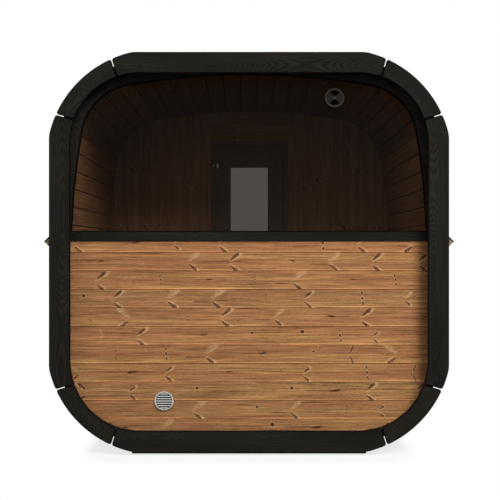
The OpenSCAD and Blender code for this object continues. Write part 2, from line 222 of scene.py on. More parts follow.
# %% [markdown]
# ## Two kinds of place
#
# Grain must follow the board that it is on, so every timber piece carries a flat map named "grain": metres
# along the board, and the board's number plus metres across it. The whole number keeps neighbouring boards
# from sharing a pattern. Shingles carry the same map, with metres down the tab. Metal and glass need no
# direction, so they read Object coordinates.

# %% Reading the grain map
noise_between_boards = 7.31


def grain_map(finish):
    """Metres along the board, metres across it, and the board's number."""
    along, high = finish.node("ShaderNodeUVMap", {"uv_map": "grain"}).parts(0, 1)
    board = high.work("FLOOR")
    return along, high - board, board


def streaks(finish, grain, per_along, per_across, detail=2.0):
    """Noise drawn out along the board, with so many blots to a metre along and across it."""
    along, across, board = grain
    spread = finish.vector(along * per_along, across * per_across, board * noise_between_boards)
    return finish.noise(spread, detail)


print("grain runs along U, boards are counted in V")

# %% [markdown]
# ## Growth rings
#
# A tree is a stack of thin, nested cones, and a saw cuts through them at a slight tilt. On the board's face
# that shows as nested arches. Here the distance from a heart that wanders along the board is turned into
# lines with a sine, which gives the same arches for the price of two noises.

# %% Growth rings
heart_wander = 0.05
heart_depth = 0.5
ring_ripple = 0.007


def growth_rings(finish, grain, spacing, centre):
    """Lines of growth rings, so far apart, with their heart centre metres from the board's edge."""
    along, across, board = grain
    wander = finish.noise(finish.vector(along * 0.9, board * 3.7, 0.0), 1.0)
    ripple = finish.noise(finish.vector(along * 5.0, across * 14.0, board * 1.9), 1.0)
    sideways = across - centre - (wander - 0.5) * heart_wander
    depth = (wander - 0.44) * heart_depth
    distance = (sideways * sideways + depth * depth).work("SQRT") + ripple * ring_ripple
    return (distance * (2 * math.pi / spacing)).work("SINE")


print("the heart wanders over", heart_wander * 1000, "mm")

# %% [markdown]
# ## Knots of softwood
#
# A branch leaves a knot where the saw meets it. On a flat-sawn board of pine most branches are cut along
# their length, so they show as pairs of slanting spikes that open like an arrowhead, with paler wood beside
# them. Some lose one spike and keep only its pale ghost, and others are small round eyes, columns of dots or
# long spindles. One knot gets a seat on every stretch of board, and dice choose its kind, its place and its
# size.

# %% A spike, and the kinds of knot
knot_kinds = {
    "pair": (-1.0, 0.46), "lone": (0.26, 0.46), "cracked": (0.30, 0.42), "narrow": (0.46, 0.56),
    "column": (0.56, 0.66), "long": (0.66, 0.80), "round": (0.80, 0.92)}


def stroke(run, side, start, end, thick, ragged, widening=0.0):
    """Distance from a slanting spike, 1 at its rim. It runs from start to end, each (along, across).

    Widening makes its end that much thicker than its middle, and ragged is added to roughen the rim."""
    middle_run, middle_side = (start[0] + end[0]) / 2, (start[1] + end[1]) / 2
    slope = math.atan2(end[1] - start[1], end[0] - start[0])
    half = math.hypot(end[0] - start[0], end[1] - start[1]) / 2
    p = (run - middle_run) * math.cos(slope) + (side - middle_side) * math.sin(slope)
    q = (side - middle_side) * math.cos(slope) - (run - middle_run) * math.sin(slope)
    q = q / (p * (widening / half) + 1).larger(0.2)
    return ((p * p) / half ** 2 + (q * q) / thick ** 2).work("SQRT") + ragged


def filled(distance, rim, outside):
    """1 up to the rim of a stroke, and 0 from outside on."""
    return 1 - distance.rise(rim, outside)


def is_kind(dice, name):
    """1 where the dice chose this kind of knot."""
    start, end = knot_kinds[name]
    return (dice - start).work("GREATER_THAN", 0.0) * (dice - end).work("LESS_THAN", 0.0)


print("knots:", ", ".join(knot_kinds))

# %% A seat for every knot
knot_spread = 0.024
knot_middle = 0.056


def knot_seat(finish, grain, spacing):
    """Metres from the knot along and across the board, and the dice for its kind and its pattern."""
    along, across, board = grain
    seat = (along / spacing).work("FLOOR")
    where = finish.vector(seat, board, 0.0)
    kind, dice = finish.node("ShaderNodeTexWhiteNoise", {"noise_dimensions": "3D"}, {0: where}, (0, 1))
    first, second, third = dice.parts(0, 1, 2)
    size = second * 0.7 + 0.65
    mirror = (third - 0.14).work("SIGN")
    run = (along - (seat + first * 0.6 + 0.2) * spacing) * mirror / size
    side = (across - knot_middle - (first - 0.5) * knot_spread) / size
    return run, side, kind, third


print("knots lie around", knot_middle * 1000, "mm from a board's edge")


# %% Spikes
def spike_marks(run, side, kind, third, rough):
    """Dark and pale masks of the spikes, and how far the grain bends round them."""
    fold = abs(side)
    ragged = rough * 1.3
    upper = side.rise(-0.002, 0.002)
    spike = stroke(run, fold, (-0.001, 0.012), (0.045, 0.051), 0.0080, ragged, 0.45)
    beside = stroke(run - 0.008, fold, (-0.001, 0.010), (0.047, 0.051), 0.0085, ragged, 0.45)
    steep = stroke(run, fold, (0.000, 0.004), (0.019, 0.050), 0.0058, ragged, 0.3)
    crack = stroke(run + 0.075, fold + rough * 0.006 - 0.012, (-0.075, 0.0), (0.075, 0.0), 0.0030, ragged)
    pair, narrow = is_kind(kind, "pair"), is_kind(kind, "narrow")
    whole = 1 - is_kind(kind, "lone") * (upper * 0.92)
    rim = spike.rise(0.35, 0.8) * (1 - third * 0.6) + filled(spike, 0.2, 0.6) * third
    patchy = (rough + 0.5).rise(0.40, 0.60) * 0.55 + 0.40
    dark = filled(spike, 0.85, 1.1) * (patchy + rim * 0.3) * pair * whole
    dark = dark + filled(crack, 0.5, 1.2) * is_kind(kind, "cracked") * (1 - upper) * 0.85
    dark = dark + filled(steep, 0.6, 1.2) * narrow * third
    halo = filled(beside, 1.1, 1.6).larger(filled(spike, 1.2, 1.6) * 0.6)
    worn = (rough + 0.5 + side * 0.8).rise(0.38, 0.58)
    pale = (halo * pair + filled(steep, 1.3, 1.9) * narrow * 0.6) * worn
    return dark, pale, filled(spike, 0.5, 4.0) * pair


print("spikes reach", 0.051 * 1000, "mm to each side")

# %% Dots, eyes and spindles
dot_spacing = 0.026


def small_marks(run, side, kind, rough):
    """Dark and pale masks of the small knots."""
    ragged = rough * 1.3
    ladder = side - ((side / dot_spacing + 0.5).work("FLOOR")) * dot_spacing
    dot = stroke(run + side * 0.12, ladder, (-0.0055, 0.0), (0.0055, 0.0), 0.0080, rough * 2.4)
    eye = stroke(run, side - 0.010, (-0.010, 0.0), (0.010, 0.002), 0.0085, ragged * 0.5)
    spindle = stroke(run, side, (-0.026, -0.003), (0.026, 0.004), 0.0062, ragged)
    tail = stroke(run + 0.05, side + rough * 0.008, (-0.13, 0.0), (0.13, 0.002), 0.0034, ragged)
    column = is_kind(kind, "column") * (1 - abs(side).rise(0.026, 0.034))
    long, round_knot = is_kind(kind, "long"), is_kind(kind, "round")
    dark = filled(dot, 0.7, 1.2) * column + filled(eye, 0.8, 1.1) * round_knot
    dark = dark + filled(spindle, 0.6, 1.2) * long + filled(tail, 0.4, 1.2) * long * 0.6
    pale = filled(dot, 1.1, 1.9) * column * 0.7 + filled(eye, 1.1, 1.6) * round_knot * 0.7
    return dark, pale


def knots(finish, grain, spacing):
    """Masks for the dark of knots, for the pale wood beside them, and for the bend of the grain."""
    along, across, board = grain
    run, side, kind, third = knot_seat(finish, grain, spacing)
    rough = finish.noise(finish.vector(along * 60.0, across * 110.0, board), 3.0, 0.65) - 0.5
    dark, pale, bend = spike_marks(run, side, kind, third, rough)
    small_dark, small_pale = small_marks(run, side, kind, rough)
    dark = (dark + small_dark).work("MINIMUM", 1.0)
    return dark, (pale + small_pale - dark * 1.4).larger(0.0), bend


print("dots stand", dot_spacing * 1000, "mm apart")

# %% [markdown]
# ## Heat-treated pine
#
# The boards and staves are planed softwood, browned by heat. Three things make it read as pine: streaks of
# several widths along the board, a hue that differs from board to board, and the knots. The lower edge of
# each board carries a painted highlight, where the planed lip would catch the light. The staves are black
# inside, between their ends and the walls, and their last few millimetres are black as a painted shade, as
# they sit deep in the joints of the rings. The black inside is told by which way a face looks.

# %% Streaks of pine
streak_layers = {
    "middling": (2.4, 90.0, 3.0, 1.25), "fine": (4.5, 190.0, 2.0, 1.90),
    "fleck": (45.0, 150.0, 2.0, 0.70), "fibre": (30.0, 900.0, 2.0, 0.35)}
highlight_fade = 0.0035
# Black of the staves inside the porch; on their tips it stands as a painted shade.
end_black = colour(0.006, 0.006, 0.006)


def pine_tone(finish, grain, dice, contrast):
    """How light the wood is, 1 on average, with the streaks and growth rings that make it so."""
    tone = (dice - 0.5) * 0.18
    layers = {}
    for label, (per_along, per_across, detail, weight) in streak_layers.items():
        layers[label] = streaks(finish, grain, per_along, per_across, detail)
        tone = tone + (layers[label] - 0.5) * weight
    rings = growth_rings(finish, grain, 0.012, 0.055)
    dark_line = streaks(finish, grain, 1.7, 130.0, 1.0).rise(0.66, 0.74)
    return 1 + (tone + rings * 0.05 - dark_line * 0.30) * contrast, layers, rings


def blacken_ends(finish, wood, black_from):
    """Black on faces that look inwards, from so far along Y, and black on the tips all round as a painted
    shade.
    """
    place, facing = finish.node("ShaderNodeTexCoord", {}, {}, ("Object", "Normal"))
    reach = abs(place.parts(1))
    outward = finish.vector_work("DOT_PRODUCT", facing, finish.vector_work("SUBTRACT", place, middle), 1)
    porch = reach.rise(black_from - 0.001, black_from + 0.001) * (1 - outward.rise(-0.1, 0.1))
    # Painted shade: the tips sit deep in the ring's joints and are made black.
    shaded_tip = reach.rise(stave_end - 0.010, stave_end - 0.008)
    return finish.mix(porch.larger(shaded_tip) * 0.95, wood, end_black)


print("streaks:", ", ".join(streak_layers))


# %% Planed pine
def pine(
        name, tan, russet, honey, lip, highlight_reach=0.0065, black_from=None, contrast=1.0, knots_apart=0.29,
        knot_depth=0.96):
    """Planed softwood in three hues, with a painted highlight on the lip along the lower edge of each board.
    """
    finish = new_finish(name)
    along, across, board = grain_map(finish)
    dice = finish.dice(board)
    dark_knot, pale_knot, bend = knots(finish, (along, across, board), knots_apart)
    bent = (along, across + bend * 0.006, board)
    broad = streaks(finish, bent, 1.1, 26.0)
    blond = streaks(finish, bent, 0.8, 17.0)
    tone, layers, rings = pine_tone(finish, bent, dice, contrast)
    wood = finish.mix(dice * 0.62 + broad.rise(0.36, 0.64) * 0.38, tan, russet)
    wood = finish.mix(blond.rise(0.48, 0.66) * 0.6, wood, honey)
    wood = finish.scaled(wood, tone)
    wood = finish.mix(pale_knot * 0.7 * knot_depth, wood, colour(0.64, 0.40, 0.20))
    wood = finish.mix(dark_knot * knot_depth, wood, colour(0.066, 0.021, 0.009))
    # Painted highlight: the lip along the lower edge of each board is made lighter.
    wood = finish.scaled(wood, 1 + (1 - across.rise(highlight_reach, highlight_reach + highlight_fade)) * lip)
    if black_from:
        wood = blacken_ends(finish, wood, black_from)
    rough = 0.52 + (layers["fine"] - 0.5) * 0.25 - dark_knot * 0.12
    height = layers["fine"] * 0.35 + layers["fibre"] * 0.4 + rings * 0.12 - dark_knot * 0.3
    finish.surface(wood, rough, Normal=finish.relief(height, 0.0006, 0.6), Specular_IOR_Level=0.12)
    return finish


# %% Pine of the walls, the shell and the battens
porch_edge = 0.937
# lip sets the strength of the painted highlight on the lower edge of each board.
wall_pine = pine(
    "pine_boards", colour(0.372, 0.184, 0.077), colour(0.300, 0.127, 0.054), colour(0.395, 0.212, 0.078),
    lip=0.52)
inner_pine = pine(
    "pine_inner_boards", colour(0.380, 0.196, 0.086), colour(0.315, 0.142, 0.060),
    colour(0.400, 0.220, 0.092), lip=0.3, contrast=0.72, knots_apart=0.47, knot_depth=0.7)
stave_pine = pine(
    "pine_staves", colour(0.400, 0.200, 0.086), colour(0.325, 0.144, 0.059), colour(0.415, 0.224, 0.092),
    lip=0.36, highlight_reach=0.0105, black_from=porch_edge)
# The upper corner staves and the roof staves get darker colours than the wall staves: a painted shade of the
# ceiling, as less light reaches it.
shoulder_pine_shaded = pine(
    "pine_corner_staves_shaded", colour(0.270, 0.134, 0.054), colour(0.225, 0.100, 0.038),
    colour(0.280, 0.146, 0.058), lip=0.15, black_from=porch_edge, contrast=0.7, knot_depth=0.6)
roof_pine_shaded = pine(
    "pine_roof_staves_shaded", colour(0.175, 0.084, 0.028), colour(0.150, 0.066, 0.022),
    colour(0.180, 0.092, 0.030), lip=0.1, black_from=porch_edge, contrast=0.6, knot_depth=0.35)
batten_pine = pine(
    "pine_battens", colour(0.300, 0.205, 0.115), colour(0.250, 0.160, 0.086), colour(0.330, 0.235, 0.130),
    lip=0.2)
# On the stave tips the black is a painted shade.
print("staves are painted black from", porch_edge, "to", round(stave_end, 4))

# %% [markdown]
# ## Black stained timber
#
# The trim rings, cradles and door are the same softwood under a near-black stain. The stain hides the hue but
# not the grain: it soaks into the soft early wood and leaves the hard lines a little glossier and lighter.
# So the same growth rings are used, at low contrast, with a shallow relief. On the rings the rounded edges
# are darkened as a painted shade, which is told by a face that looks neither along the cabin nor square to
# it.
# The cradles are darker still, a painted shade under the rings. The door has a thin coat that lets the brown
# of the wood through.

# %% Black stain over grain
def stained(name, base, lift, rings_apart, gloss=0.07, edge_shade=0.0, contrast=1.0):
    """A near-black stain that lets the growth rings show, with a painted shade on the rounded edges."""
    finish = new_finish(name)
    grain = grain_map(finish)
    rings = growth_rings(finish, grain, rings_apart, 0.06)
    fine = streaks(finish, grain, 5.0, 260.0, 3.0)
    cloud = streaks(finish, grain, 1.5, 12.0)
    tone = 1 + (rings * 0.26 + (fine - 0.5) * 1.9 + (cloud - 0.5) * 0.5) * contrast
    wood = finish.scaled(finish.mix(cloud.rise(0.35, 0.7), base, lift), tone)
    if edge_shade:
        # Painted shade: faces turned sideways on the rounded edges are darkened.
        square = abs(finish.node("ShaderNodeTexCoord", {}, {}, "Normal").parts(1))
        edge = square.rise(0.05, 0.25) * (1 - square.rise(0.95, 0.999))
        wood = finish.scaled(wood, 1 - edge * edge_shade)
    rough = 0.5 - rings * 0.04 + (fine - 0.5) * 0.3
    relief = finish.relief(rings * 0.25 + fine * 0.5, 0.0007, 0.6)
    finish.surface(wood, rough, Normal=relief, Specular_IOR_Level=gloss)
    return finish


# The rings get a painted shade on their rounded edges.
black_timber = stained(
    "black_timber", colour(0.0112, 0.0102, 0.0082), colour(0.0150, 0.0130, 0.0098), 0.0075, gloss=0.06,
    edge_shade=0.85)
frame_timber = stained(
    "black_frame_timber", colour(0.0132, 0.0124, 0.0106), colour(0.0158, 0.0146, 0.0120), 0.007)
# The cradles' darker stain is a painted shade: they stand under the rings.
cradle_timber_shaded = stained(
    "black_cradle_timber_shaded", colour(0.0050, 0.0048, 0.0044), colour(0.0060, 0.0056, 0.0050), 0.007)
door_timber = stained(
    "black_door_timber", colour(0.180, 0.118, 0.073), colour(0.190, 0.122, 0.074), 0.008, gloss=0.2,
    contrast=0.45)
print("stained:", [timber.owner.name for timber in (black_timber, frame_timber, cradle_timber_shaded, door_timber)])

# %% [markdown]
# ## Bitumen shingles
#
# Shingles are felt soaked in bitumen and pressed full of crushed stone. Close up they are a crowd of dark and
# grey grains, and from a few metres a flat charcoal. Cells of a Voronoi texture in Object coordinates give
# each grain its own grey, and noise at the size of a hand dulls the even colour. Each tab comes from another
# batch and has its own tone, and its upper end under the row above is darker, as painted shade and dirt. The
# bare felt below has lost its stone and is nearly black.

# %% Mineral grit
grains_to_a_metre = 420.0
shade_and_dirt_reach = 0.028


def gritty(name, paleness, tabs=False):
    """Charcoal felt with crushed stone. Tabs differ in tone and are darker at their upper end: painted shade
    and dirt.
    """
    finish = new_finish(name)
    place = finish.place()
    cells = {"Vector": place, "Scale": grains_to_a_metre}
    distance, dice = finish.node("ShaderNodeTexVoronoi", {}, cells, (0, 1))
    cloud = finish.noise(place, 3.0, 0.5, 6.0)
    stone = finish.mix(dice.parts(0), colour(0.006, 0.006, 0.006), colour(0.045, 0.044, 0.042))
    stone = finish.scaled(stone, (cloud * 0.9 + 0.5) * paleness)
    if tabs:
        down, across, number = grain_map(finish)
        # Painted shade and dirt: the upper end of each tab, under the row above, is darker.
        clear_of_shade_and_dirt = abs(down).rise(0.0, shade_and_dirt_reach)
        stone = finish.scaled(stone, (finish.dice(number) * 0.5 + 0.78) * (clear_of_shade_and_dirt * 0.55 + 0.45))
    relief = finish.relief((1 - distance) * 0.6 + cloud * 0.2, 0.0012, 0.7)
    finish.surface(stone, 0.88, Normal=relief, Specular_IOR_Level=0.25)
    return finish


shingle_grit = gritty("shingles", 1.0, tabs=True)
felt_bitumen = gritty("felt", 0.2)
print("grit:", shingle_grit.owner.name, felt_bitumen.owner.name)

# %% [markdown]
# ## Metals and rubber
#
# The louvred vent is natural aluminium, the rotary vent has a graphite coat with a lighter rim that is a
# painted highlight, and the door's fittings are brushed steel. At the catch, the button's near-white colour
# is a painted glint, and the brass-coloured lug is made pale as a painted highlight. Seals and screens are
# black rubber and mesh. All share one net. Fine scratches change the roughness, and a cloud of noise keeps
# the surface from looking moulded in one go.

# %% Brushed and coated metal
def metal(name, base, metallic, roughness, scratches, specular=0.5):
    """Metal whose sheen is broken by fine scratches, so many to a metre along X, Y and Z."""
    finish = new_finish(name)
    place = finish.place()
    drawn = finish.node("ShaderNodeMapping", {}, {"Vector": place, "Scale": scratches})
    fine = finish.noise(drawn, 3.0, 0.6)
    cloud = finish.noise(place, 2.0, 0.5, 30.0)
    tint = finish.scaled(base, 0.82 + fine * 0.2 + cloud * 0.16)
    rough = roughness + (fine - 0.5) * 0.22 + (cloud - 0.5) * 0.12
    relief = finish.relief(fine, 0.00012, 0.4)
    finish.surface(tint, rough, Metallic=metallic, Normal=relief, Specular_IOR_Level=specular)
    return finish


even = (300.0, 300.0, 300.0)
aluminium = metal("vent_aluminium", colour(0.56, 0.55, 0.53), 0.8, 0.36, (40.0, 60.0, 900.0))
graphite = metal("graphite_metal", colour(0.0118, 0.0103, 0.0085), 0.0, 0.45, even, 0.12)
# The lighter rim and cap of the rotary vent are a painted highlight.
graphite_sheen = metal("graphite_sheen", colour(0.0300, 0.0275, 0.0235), 0.0, 0.40, even, 0.2)
steel = metal("fitting_steel", colour(0.56, 0.56, 0.55), 1.0, 0.27, (900.0, 900.0, 60.0))
# The button's near-white, non-metallic colour is a painted glint.
button_glint = metal("catch_button_glint", colour(0.98, 0.95, 0.88), 0.0, 0.30, even, 1.0)
# The lug's pale brass colour is partly a painted highlight.
brass_with_glint = metal("catch_brass_glint", colour(0.90, 0.74, 0.50), 0.10, 0.36, even)
rubber = metal("glazing_rubber", colour(0.0030, 0.0030, 0.0028), 0.0, 0.85, (200.0, 200.0, 200.0), 0.03)
metals = (aluminium, graphite, graphite_sheen, steel, button_glint, brass_with_glint, rubber)
print("metals and rubber:", [one.owner.name for one in metals])

# %% [markdown]
# ## Tinted glass
#
# A tinted pane takes most of the light out of what is seen through it. Real coloured glass in a path tracer
# makes slow, noisy shadows, so the pane is a thin mix instead: partly a dark gloss, partly clear. Rays of
# lamps and of bounced light pass freely, which keeps the room as bright as it is behind a real window.

# %% Thin tinted pane
def tinted(name, tint, darkness, gloss, through):
    """A pane that darkens the view through it and colours it, with a clear gloss on top."""
    finish = new_finish(name)
    shadow, bounced = finish.node("ShaderNodeLightPath", {}, {}, ("Is Shadow Ray", "Is Diffuse Ray"))
    film = finish.noise(finish.place(), 2.0, 0.5, 3.0)
    smear = finish.scaled(tint, 0.8 + film * 0.4)
    sockets = {"Base Color": smear, "Roughness": 0.03 + film * 0.03, "Specular IOR Level": gloss}
    pane = finish.node("ShaderNodeBsdfPrincipled", {}, sockets)
    clear = finish.node("ShaderNodeBsdfTransparent", {}, {"Color": through})
    seen = (1 - shadow.larger(bounced)) * darkness
    finish.show(finish.node("ShaderNodeMixShader", {}, {0: seen, 1: clear, 2: pane}))
    return finish


window_tint = tinted("window_pane_glass", colour(0.0044, 0.0044, 0.0042), 0.300, 0.04, colour(1, 1, 1))
door_tint = tinted(
    "door_pane_glass", colour(0.0060, 0.0052, 0.0046), 0.603, 0.15, colour(0.96, 0.89, 0.84))
print("glass:", window_tint.owner.name, door_tint.owner.name)

# %% [markdown]
# ## From mesh to piece
#
# All pieces end the same way: the mesh gets its finish, its faces are shaded smooth except at real edges, and
# the piece is tied to the body that it moves with. A piece stays at the origin and carries its place in its
# mesh, so that patterns and poses line up.

# %% Hand over a finished mesh
real_edge = 35.0


def hand_over(mesh, name, finish, stands_for=(), body="cabin", sharp=real_edge):
    """Makes a piece of a mesh, or of a bmesh, which it uses up."""
    if isinstance(mesh, bmesh.types.BMesh):
        shape = mesh
        mesh = bpy.data.meshes.new(name)
        shape.to_mesh(mesh)
        shape.free()
    mesh.materials.clear()
    mesh.materials.append(finish.owner)
    mesh.shade_smooth()
    mesh.set_sharp_from_angle(angle=math.radians(sharp))
    piece = bpy.data.objects.new(name, mesh)
    bpy.context.scene.collection.objects.link(piece)
    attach(piece, body)
    if stands_for:
        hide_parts(*stands_for)
    print(name, "has", len(mesh.polygons), "faces")
    return piece


def soften(piece, width):
    """Rounds the sharp edges a little, as sanding does."""
    bevel = piece.modifiers.new("soften", "BEVEL")
    bevel.width = width
    bevel.segments = 2
    bevel.limit_method = "ANGLE"
    bevel.angle_limit = math.radians(real_edge)
    bevel.harden_normals = True
    bevel.use_clamp_overlap = False
    return piece


print("edges sharper than", real_edge, "degrees stay edges")

# %% [markdown]
# ## A workbench
#
# Most pieces here begin as a block that is cut, planed and moved into place, so each of these jobs gets a
# short name. Blender's operators want to be told exactly which edges or faces they work on, and these helpers
# say it once.

# %% Blocks, cuts and moves
def block(x, y, z):
    """A cube around the origin, stretched to these lengths."""
    shape = bmesh.new()
    bmesh.ops.create_cube(shape, size=1.0)
    bmesh.ops.scale(shape, vec=(x, y, z), verts=shape.verts)
    return shape


def run_of(edge):
    """The way along an edge."""
    return edge.verts[0].co - edge.verts[1].co


def slice_at(shape, place, normal):
    """Draws new edges where a plane passes through a shape, and takes nothing away."""
    everything = shape.verts[:] + shape.edges[:] + shape.faces[:]
    bmesh.ops.bisect_plane(shape, geom=everything, plane_co=place, plane_no=normal, dist=1e-6)


def plane_off(shape, edges, width, segments=1):
    """Takes edges off: one segment leaves a flat, more make a round."""
    bmesh.ops.bevel(
        shape, geom=edges, offset=width, segments=segments, profile=0.5, affect="EDGES", material=-1)


def turn(degrees, axis):
    return Matrix.Rotation(math.radians(degrees), 4, axis)


def shift(x, y, z):
    return Matrix.Translation((x, y, z))


def gather(heap, part, place=Matrix.Identity(4)):
    """Turns a part into place and adds it to a heap of parts."""
    bmesh.ops.transform(part, matrix=place, verts=part.verts)
    carrier = bpy.data.meshes.new("carrier")
    part.to_mesh(carrier)
    part.free()
    heap.from_mesh(carrier)
    bpy.data.meshes.remove(carrier)


print("a quarter turn about Y takes X to", [round(value) for value in turn(90, "Y") @ Vector((1, 0, 0))])

# %% [markdown]
# ## Boards
#
# A board is a block with its long edges planed off, and it gets its grain map while it still lies flat. Only
# then is it turned into place. Many boards are gathered in one bmesh, because a wall of a dozen boards is one
# piece. Its lower edge may stand proud as a lip, and its inner half may be narrower, so that two neighbours
# close on the outside and leave a groove inside.

# %% A flat board
pattern_shift = 1.37
board_reach = 0.98
slot_top, slot_foot = 0.20, 0.15
lip_top, lip_foot = 0.006, 0.0095


def lay_grain(board, number):
    """Writes the grain map: metres along Y, and the board's number plus metres across X."""
    layer = board.loops.layers.uv.new("grain")
    start = min(vert.co.x for vert in board.verts)
    for face in board.faces:
        for loop in face.loops:
            place = loop.vert.co
            wide = min(place.x - start, board_reach)
            loop[layer].uv = (place.y + number * pattern_shift, number + wide)


def flat_board(number, length, width, thick, planed, taper=1.0, lip=0.0, slot=0.0):
    """A board that lies along Y, its width along X and its outer face up. Taper widens the outer face.

    Lip is how far the lower edge of the inner face stands proud, and slot how far each side of the inner half
    steps back."""
    board = block(width, length, thick)
    for vert in board.verts:
        if vert.co.z > 0:
            vert.co.x *= taper
    if slot:
        for height in (slot_top, slot_foot):
            slice_at(board, (0, 0, height * thick), (0, 0, 1))
        for vert in board.verts:
            if vert.co.z < (slot_top + slot_foot) / 2 * thick:
                vert.co.x -= math.copysign(slot, vert.co.x)
    long_edges = [
        edge for edge in board.edges
        if abs(run_of(edge).y) > length / 2 and abs(edge.verts[0].co.z) > 0.45 * thick]
    plane_off(board, long_edges, planed)
    if lip:
        for reach in (lip_top, lip_foot):
            slice_at(board, (reach - width / 2, 0, 0), (1, 0, 0))
        for vert in board.verts:
            if vert.co.x < (lip_top + lip_foot) / 2 - width / 2 and vert.co.z < 0:
                vert.co.z -= lip
    lay_grain(board, number)
    return board


print("the lip of a board is", lip_top * 1000, "mm wide")

# %% [markdown]
# ## Dressing a piece of the construction
#
# Where the construction already has the right outline, a copy of its mesh is enough. The copy arrives as
# loose triangles, so its doubles are merged and its flat faces joined before a bevel can follow the true
# edges. Each board in the copy is an island of faces. Its grain runs along the tangent at the board's place
# around a centre, which suits rings and frames alike.

# %% Copy and merge
def merged(node):
    """A clean copy of a construction node's mesh."""
    copy = bmesh.new()
    copy.from_mesh(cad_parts[node].data)
    bmesh.ops.remove_doubles(copy, verts=copy.verts, dist=0.00002)
    bmesh.ops.dissolve_limit(copy, angle_limit=math.radians(0.1), verts=copy.verts, edges=copy.edges)
    return copy


def islands(shape):
    """The loose parts of a bmesh, each as a list of faces.

    The faces are taken in the mesh's own order, because the order of a set changes from run to run."""
    seen = set()
    parts = []
    for first_face in shape.faces:
        if first_face in seen:
            continue
        seen.add(first_face)
        ready = [first_face]
        part = []
        while ready:
            face = ready.pop()
            part.append(face)
            for edge in face.edges:
                for other in edge.link_faces:
                    if other not in seen:
                        seen.add(other)
                        ready.append(other)
        parts.append(part)
    return parts


sample = merged("cradles")
print("cradles:", len(islands(sample)))
sample.free()

# %% Grain round a centre
depth_share = 0.35


def grain_around(shape, centre, steps, first=0):
    """Gives every island a grain map that runs round a centre, in whole steps of a turn."""
    layer = shape.loops.layers.uv.get("grain") or shape.loops.layers.uv.new("grain")
    parts = sorted(islands(shape), key=lambda part: tuple(part[0].calc_center_median()))
    for number, part in enumerate(parts, first):
        corners = {vert for face in part for vert in face.verts}
        heart = sum((vert.co for vert in corners), Vector()) / len(corners)
        angle = math.atan2(heart.z - centre.z, heart.x - centre.x)
        angle = round(angle / (2 * math.pi) * steps) / steps * 2 * math.pi
        across = Vector((math.cos(angle), depth_share, math.sin(angle)))
        along = Vector((-math.sin(angle), 0, math.cos(angle)))
        start = min(vert.co.dot(across) for vert in corners)
        for face in part:
            for loop in face.loops:
                wide = min(loop.vert.co.dot(across) - start, board_reach)
                loop[layer].uv = (loop.vert.co.dot(along) + number * pattern_shift, number + wide)


print("a plank's depth counts", depth_share, "of its width in the grain map")

# %% Soft edges
slight_bends = (7, 40)
square_corners = (50, 130)


def round_edges(shape, radius, least, most):
    """Rounds the edges that run along Y where the faces beside them turn by least to most degrees."""
    chosen = []
    for edge in shape.edges:
        run = run_of(edge)
        turned_by = math.degrees(edge.calc_face_angle_signed(0.0))
        if abs(run.y) > 0.9 * run.length and least < turned_by < most:
            chosen.append(edge)
    plane_off(shape, chosen, radius, segments=4)


def dress(node, finish, width, centre, steps, body="cabin", first=0, corner=0.0):
    """Replaces a node of the construction with a copy that has soft edges and grain."""
    copy = merged(node)
    if corner:
        round_edges(copy, 1.6 * corner, *slight_bends)
        round_edges(copy, corner, *square_corners)
    grain_around(copy, centre, steps, first)
    piece = hand_over(copy, node + "_dressed", finish, (node,), body)
    return soften(piece, width)


print("corners of", square_corners, "degrees can be rounded")

# %% [markdown]
# ## Cradles and trim rings
#
# Three planks cut to the curve carry the cabin. At each end a ring of eight boards hides the ends of the
# staves. The joints of the ring stay open, so that the boards can swell. All of it is sawn from plank and
# stained, so copies with softened edges are right, and only the direction of the grain needs care. The grain
# of the cradles runs level, so their centre is put far above them.

# %% Cradles
# The cradles are darker as a painted shade.
dress("cradles", cradle_timber_shaded, 0.004, Vector((0, 0, 9)), 4)

# %% Trim rings
ring_corner = 0.013
ring_nodes = [
    f"trim_{end}_{place}" for end in ("front", "rear") for place in ("top", "bottom", "sides", "corners")]
for order, node in enumerate(ring_nodes):
    dress(node, black_timber, 0.0065, middle, 8, first=order * 4 + 3, corner=ring_corner)

# %% [markdown]
# ## The stave shell
#
# The tunnel is laid up like a barrel. Four gently bowed sides take thirteen flat staves each, and every
# rounded corner takes five that are sawn to a wedge. Neighbours close on the outside, where their planed
# edges draw a fine dark line, and leave a narrow groove inside. A gap that went right through would let the
# light in.

# %% Section of the shell
stave_thick = 0.042
bow_radius = 4.300
corner_radius = 0.410
shell_inside = shell_high.z - middle.z - stave_thick
bow_drop = bow_radius - shell_inside
corner_place = (math.sqrt(2 * (bow_radius - corner_radius) ** 2 - bow_drop ** 2) - bow_drop) / 2
bow_angle = math.degrees(math.atan(corner_place / (corner_place + bow_drop)))
print("inside half width", round(shell_inside, 4), "bow ends at", round(bow_angle, 2), "degrees")

# %% Staves of one side and of one corner
side_staves = 13
corner_staves = 5
stave_play = 0.0003
stave_planed = 0.0034
stave_slot = 0.0032


def wedge_stave(number, radius, step):
    """A stave that fills one step of an arc, measured on the inside."""
    half = math.radians(step) / 2
    width = 2 * radius * math.tan(half) - stave_play
    taper = (radius + stave_thick) / radius
    return flat_board(number, 2 * stave_end, width, stave_thick, stave_planed, taper, slot=stave_slot)


def stave_side(heap, side, first):
    """Staves of a bowed side, which is turned round the cabin's middle."""
    step = 2 * bow_angle / side_staves
    for order in range(side_staves):
        angle = (order + 0.5) * step - bow_angle
        stave = wedge_stave(first + order, bow_radius, step)
        radial = shift(0, 0, -bow_drop) @ turn(angle, "Y") @ shift(0, 0, bow_radius + stave_thick / 2)
        gather(heap, stave, Matrix.Translation(middle) @ turn(side, "Y") @ radial)


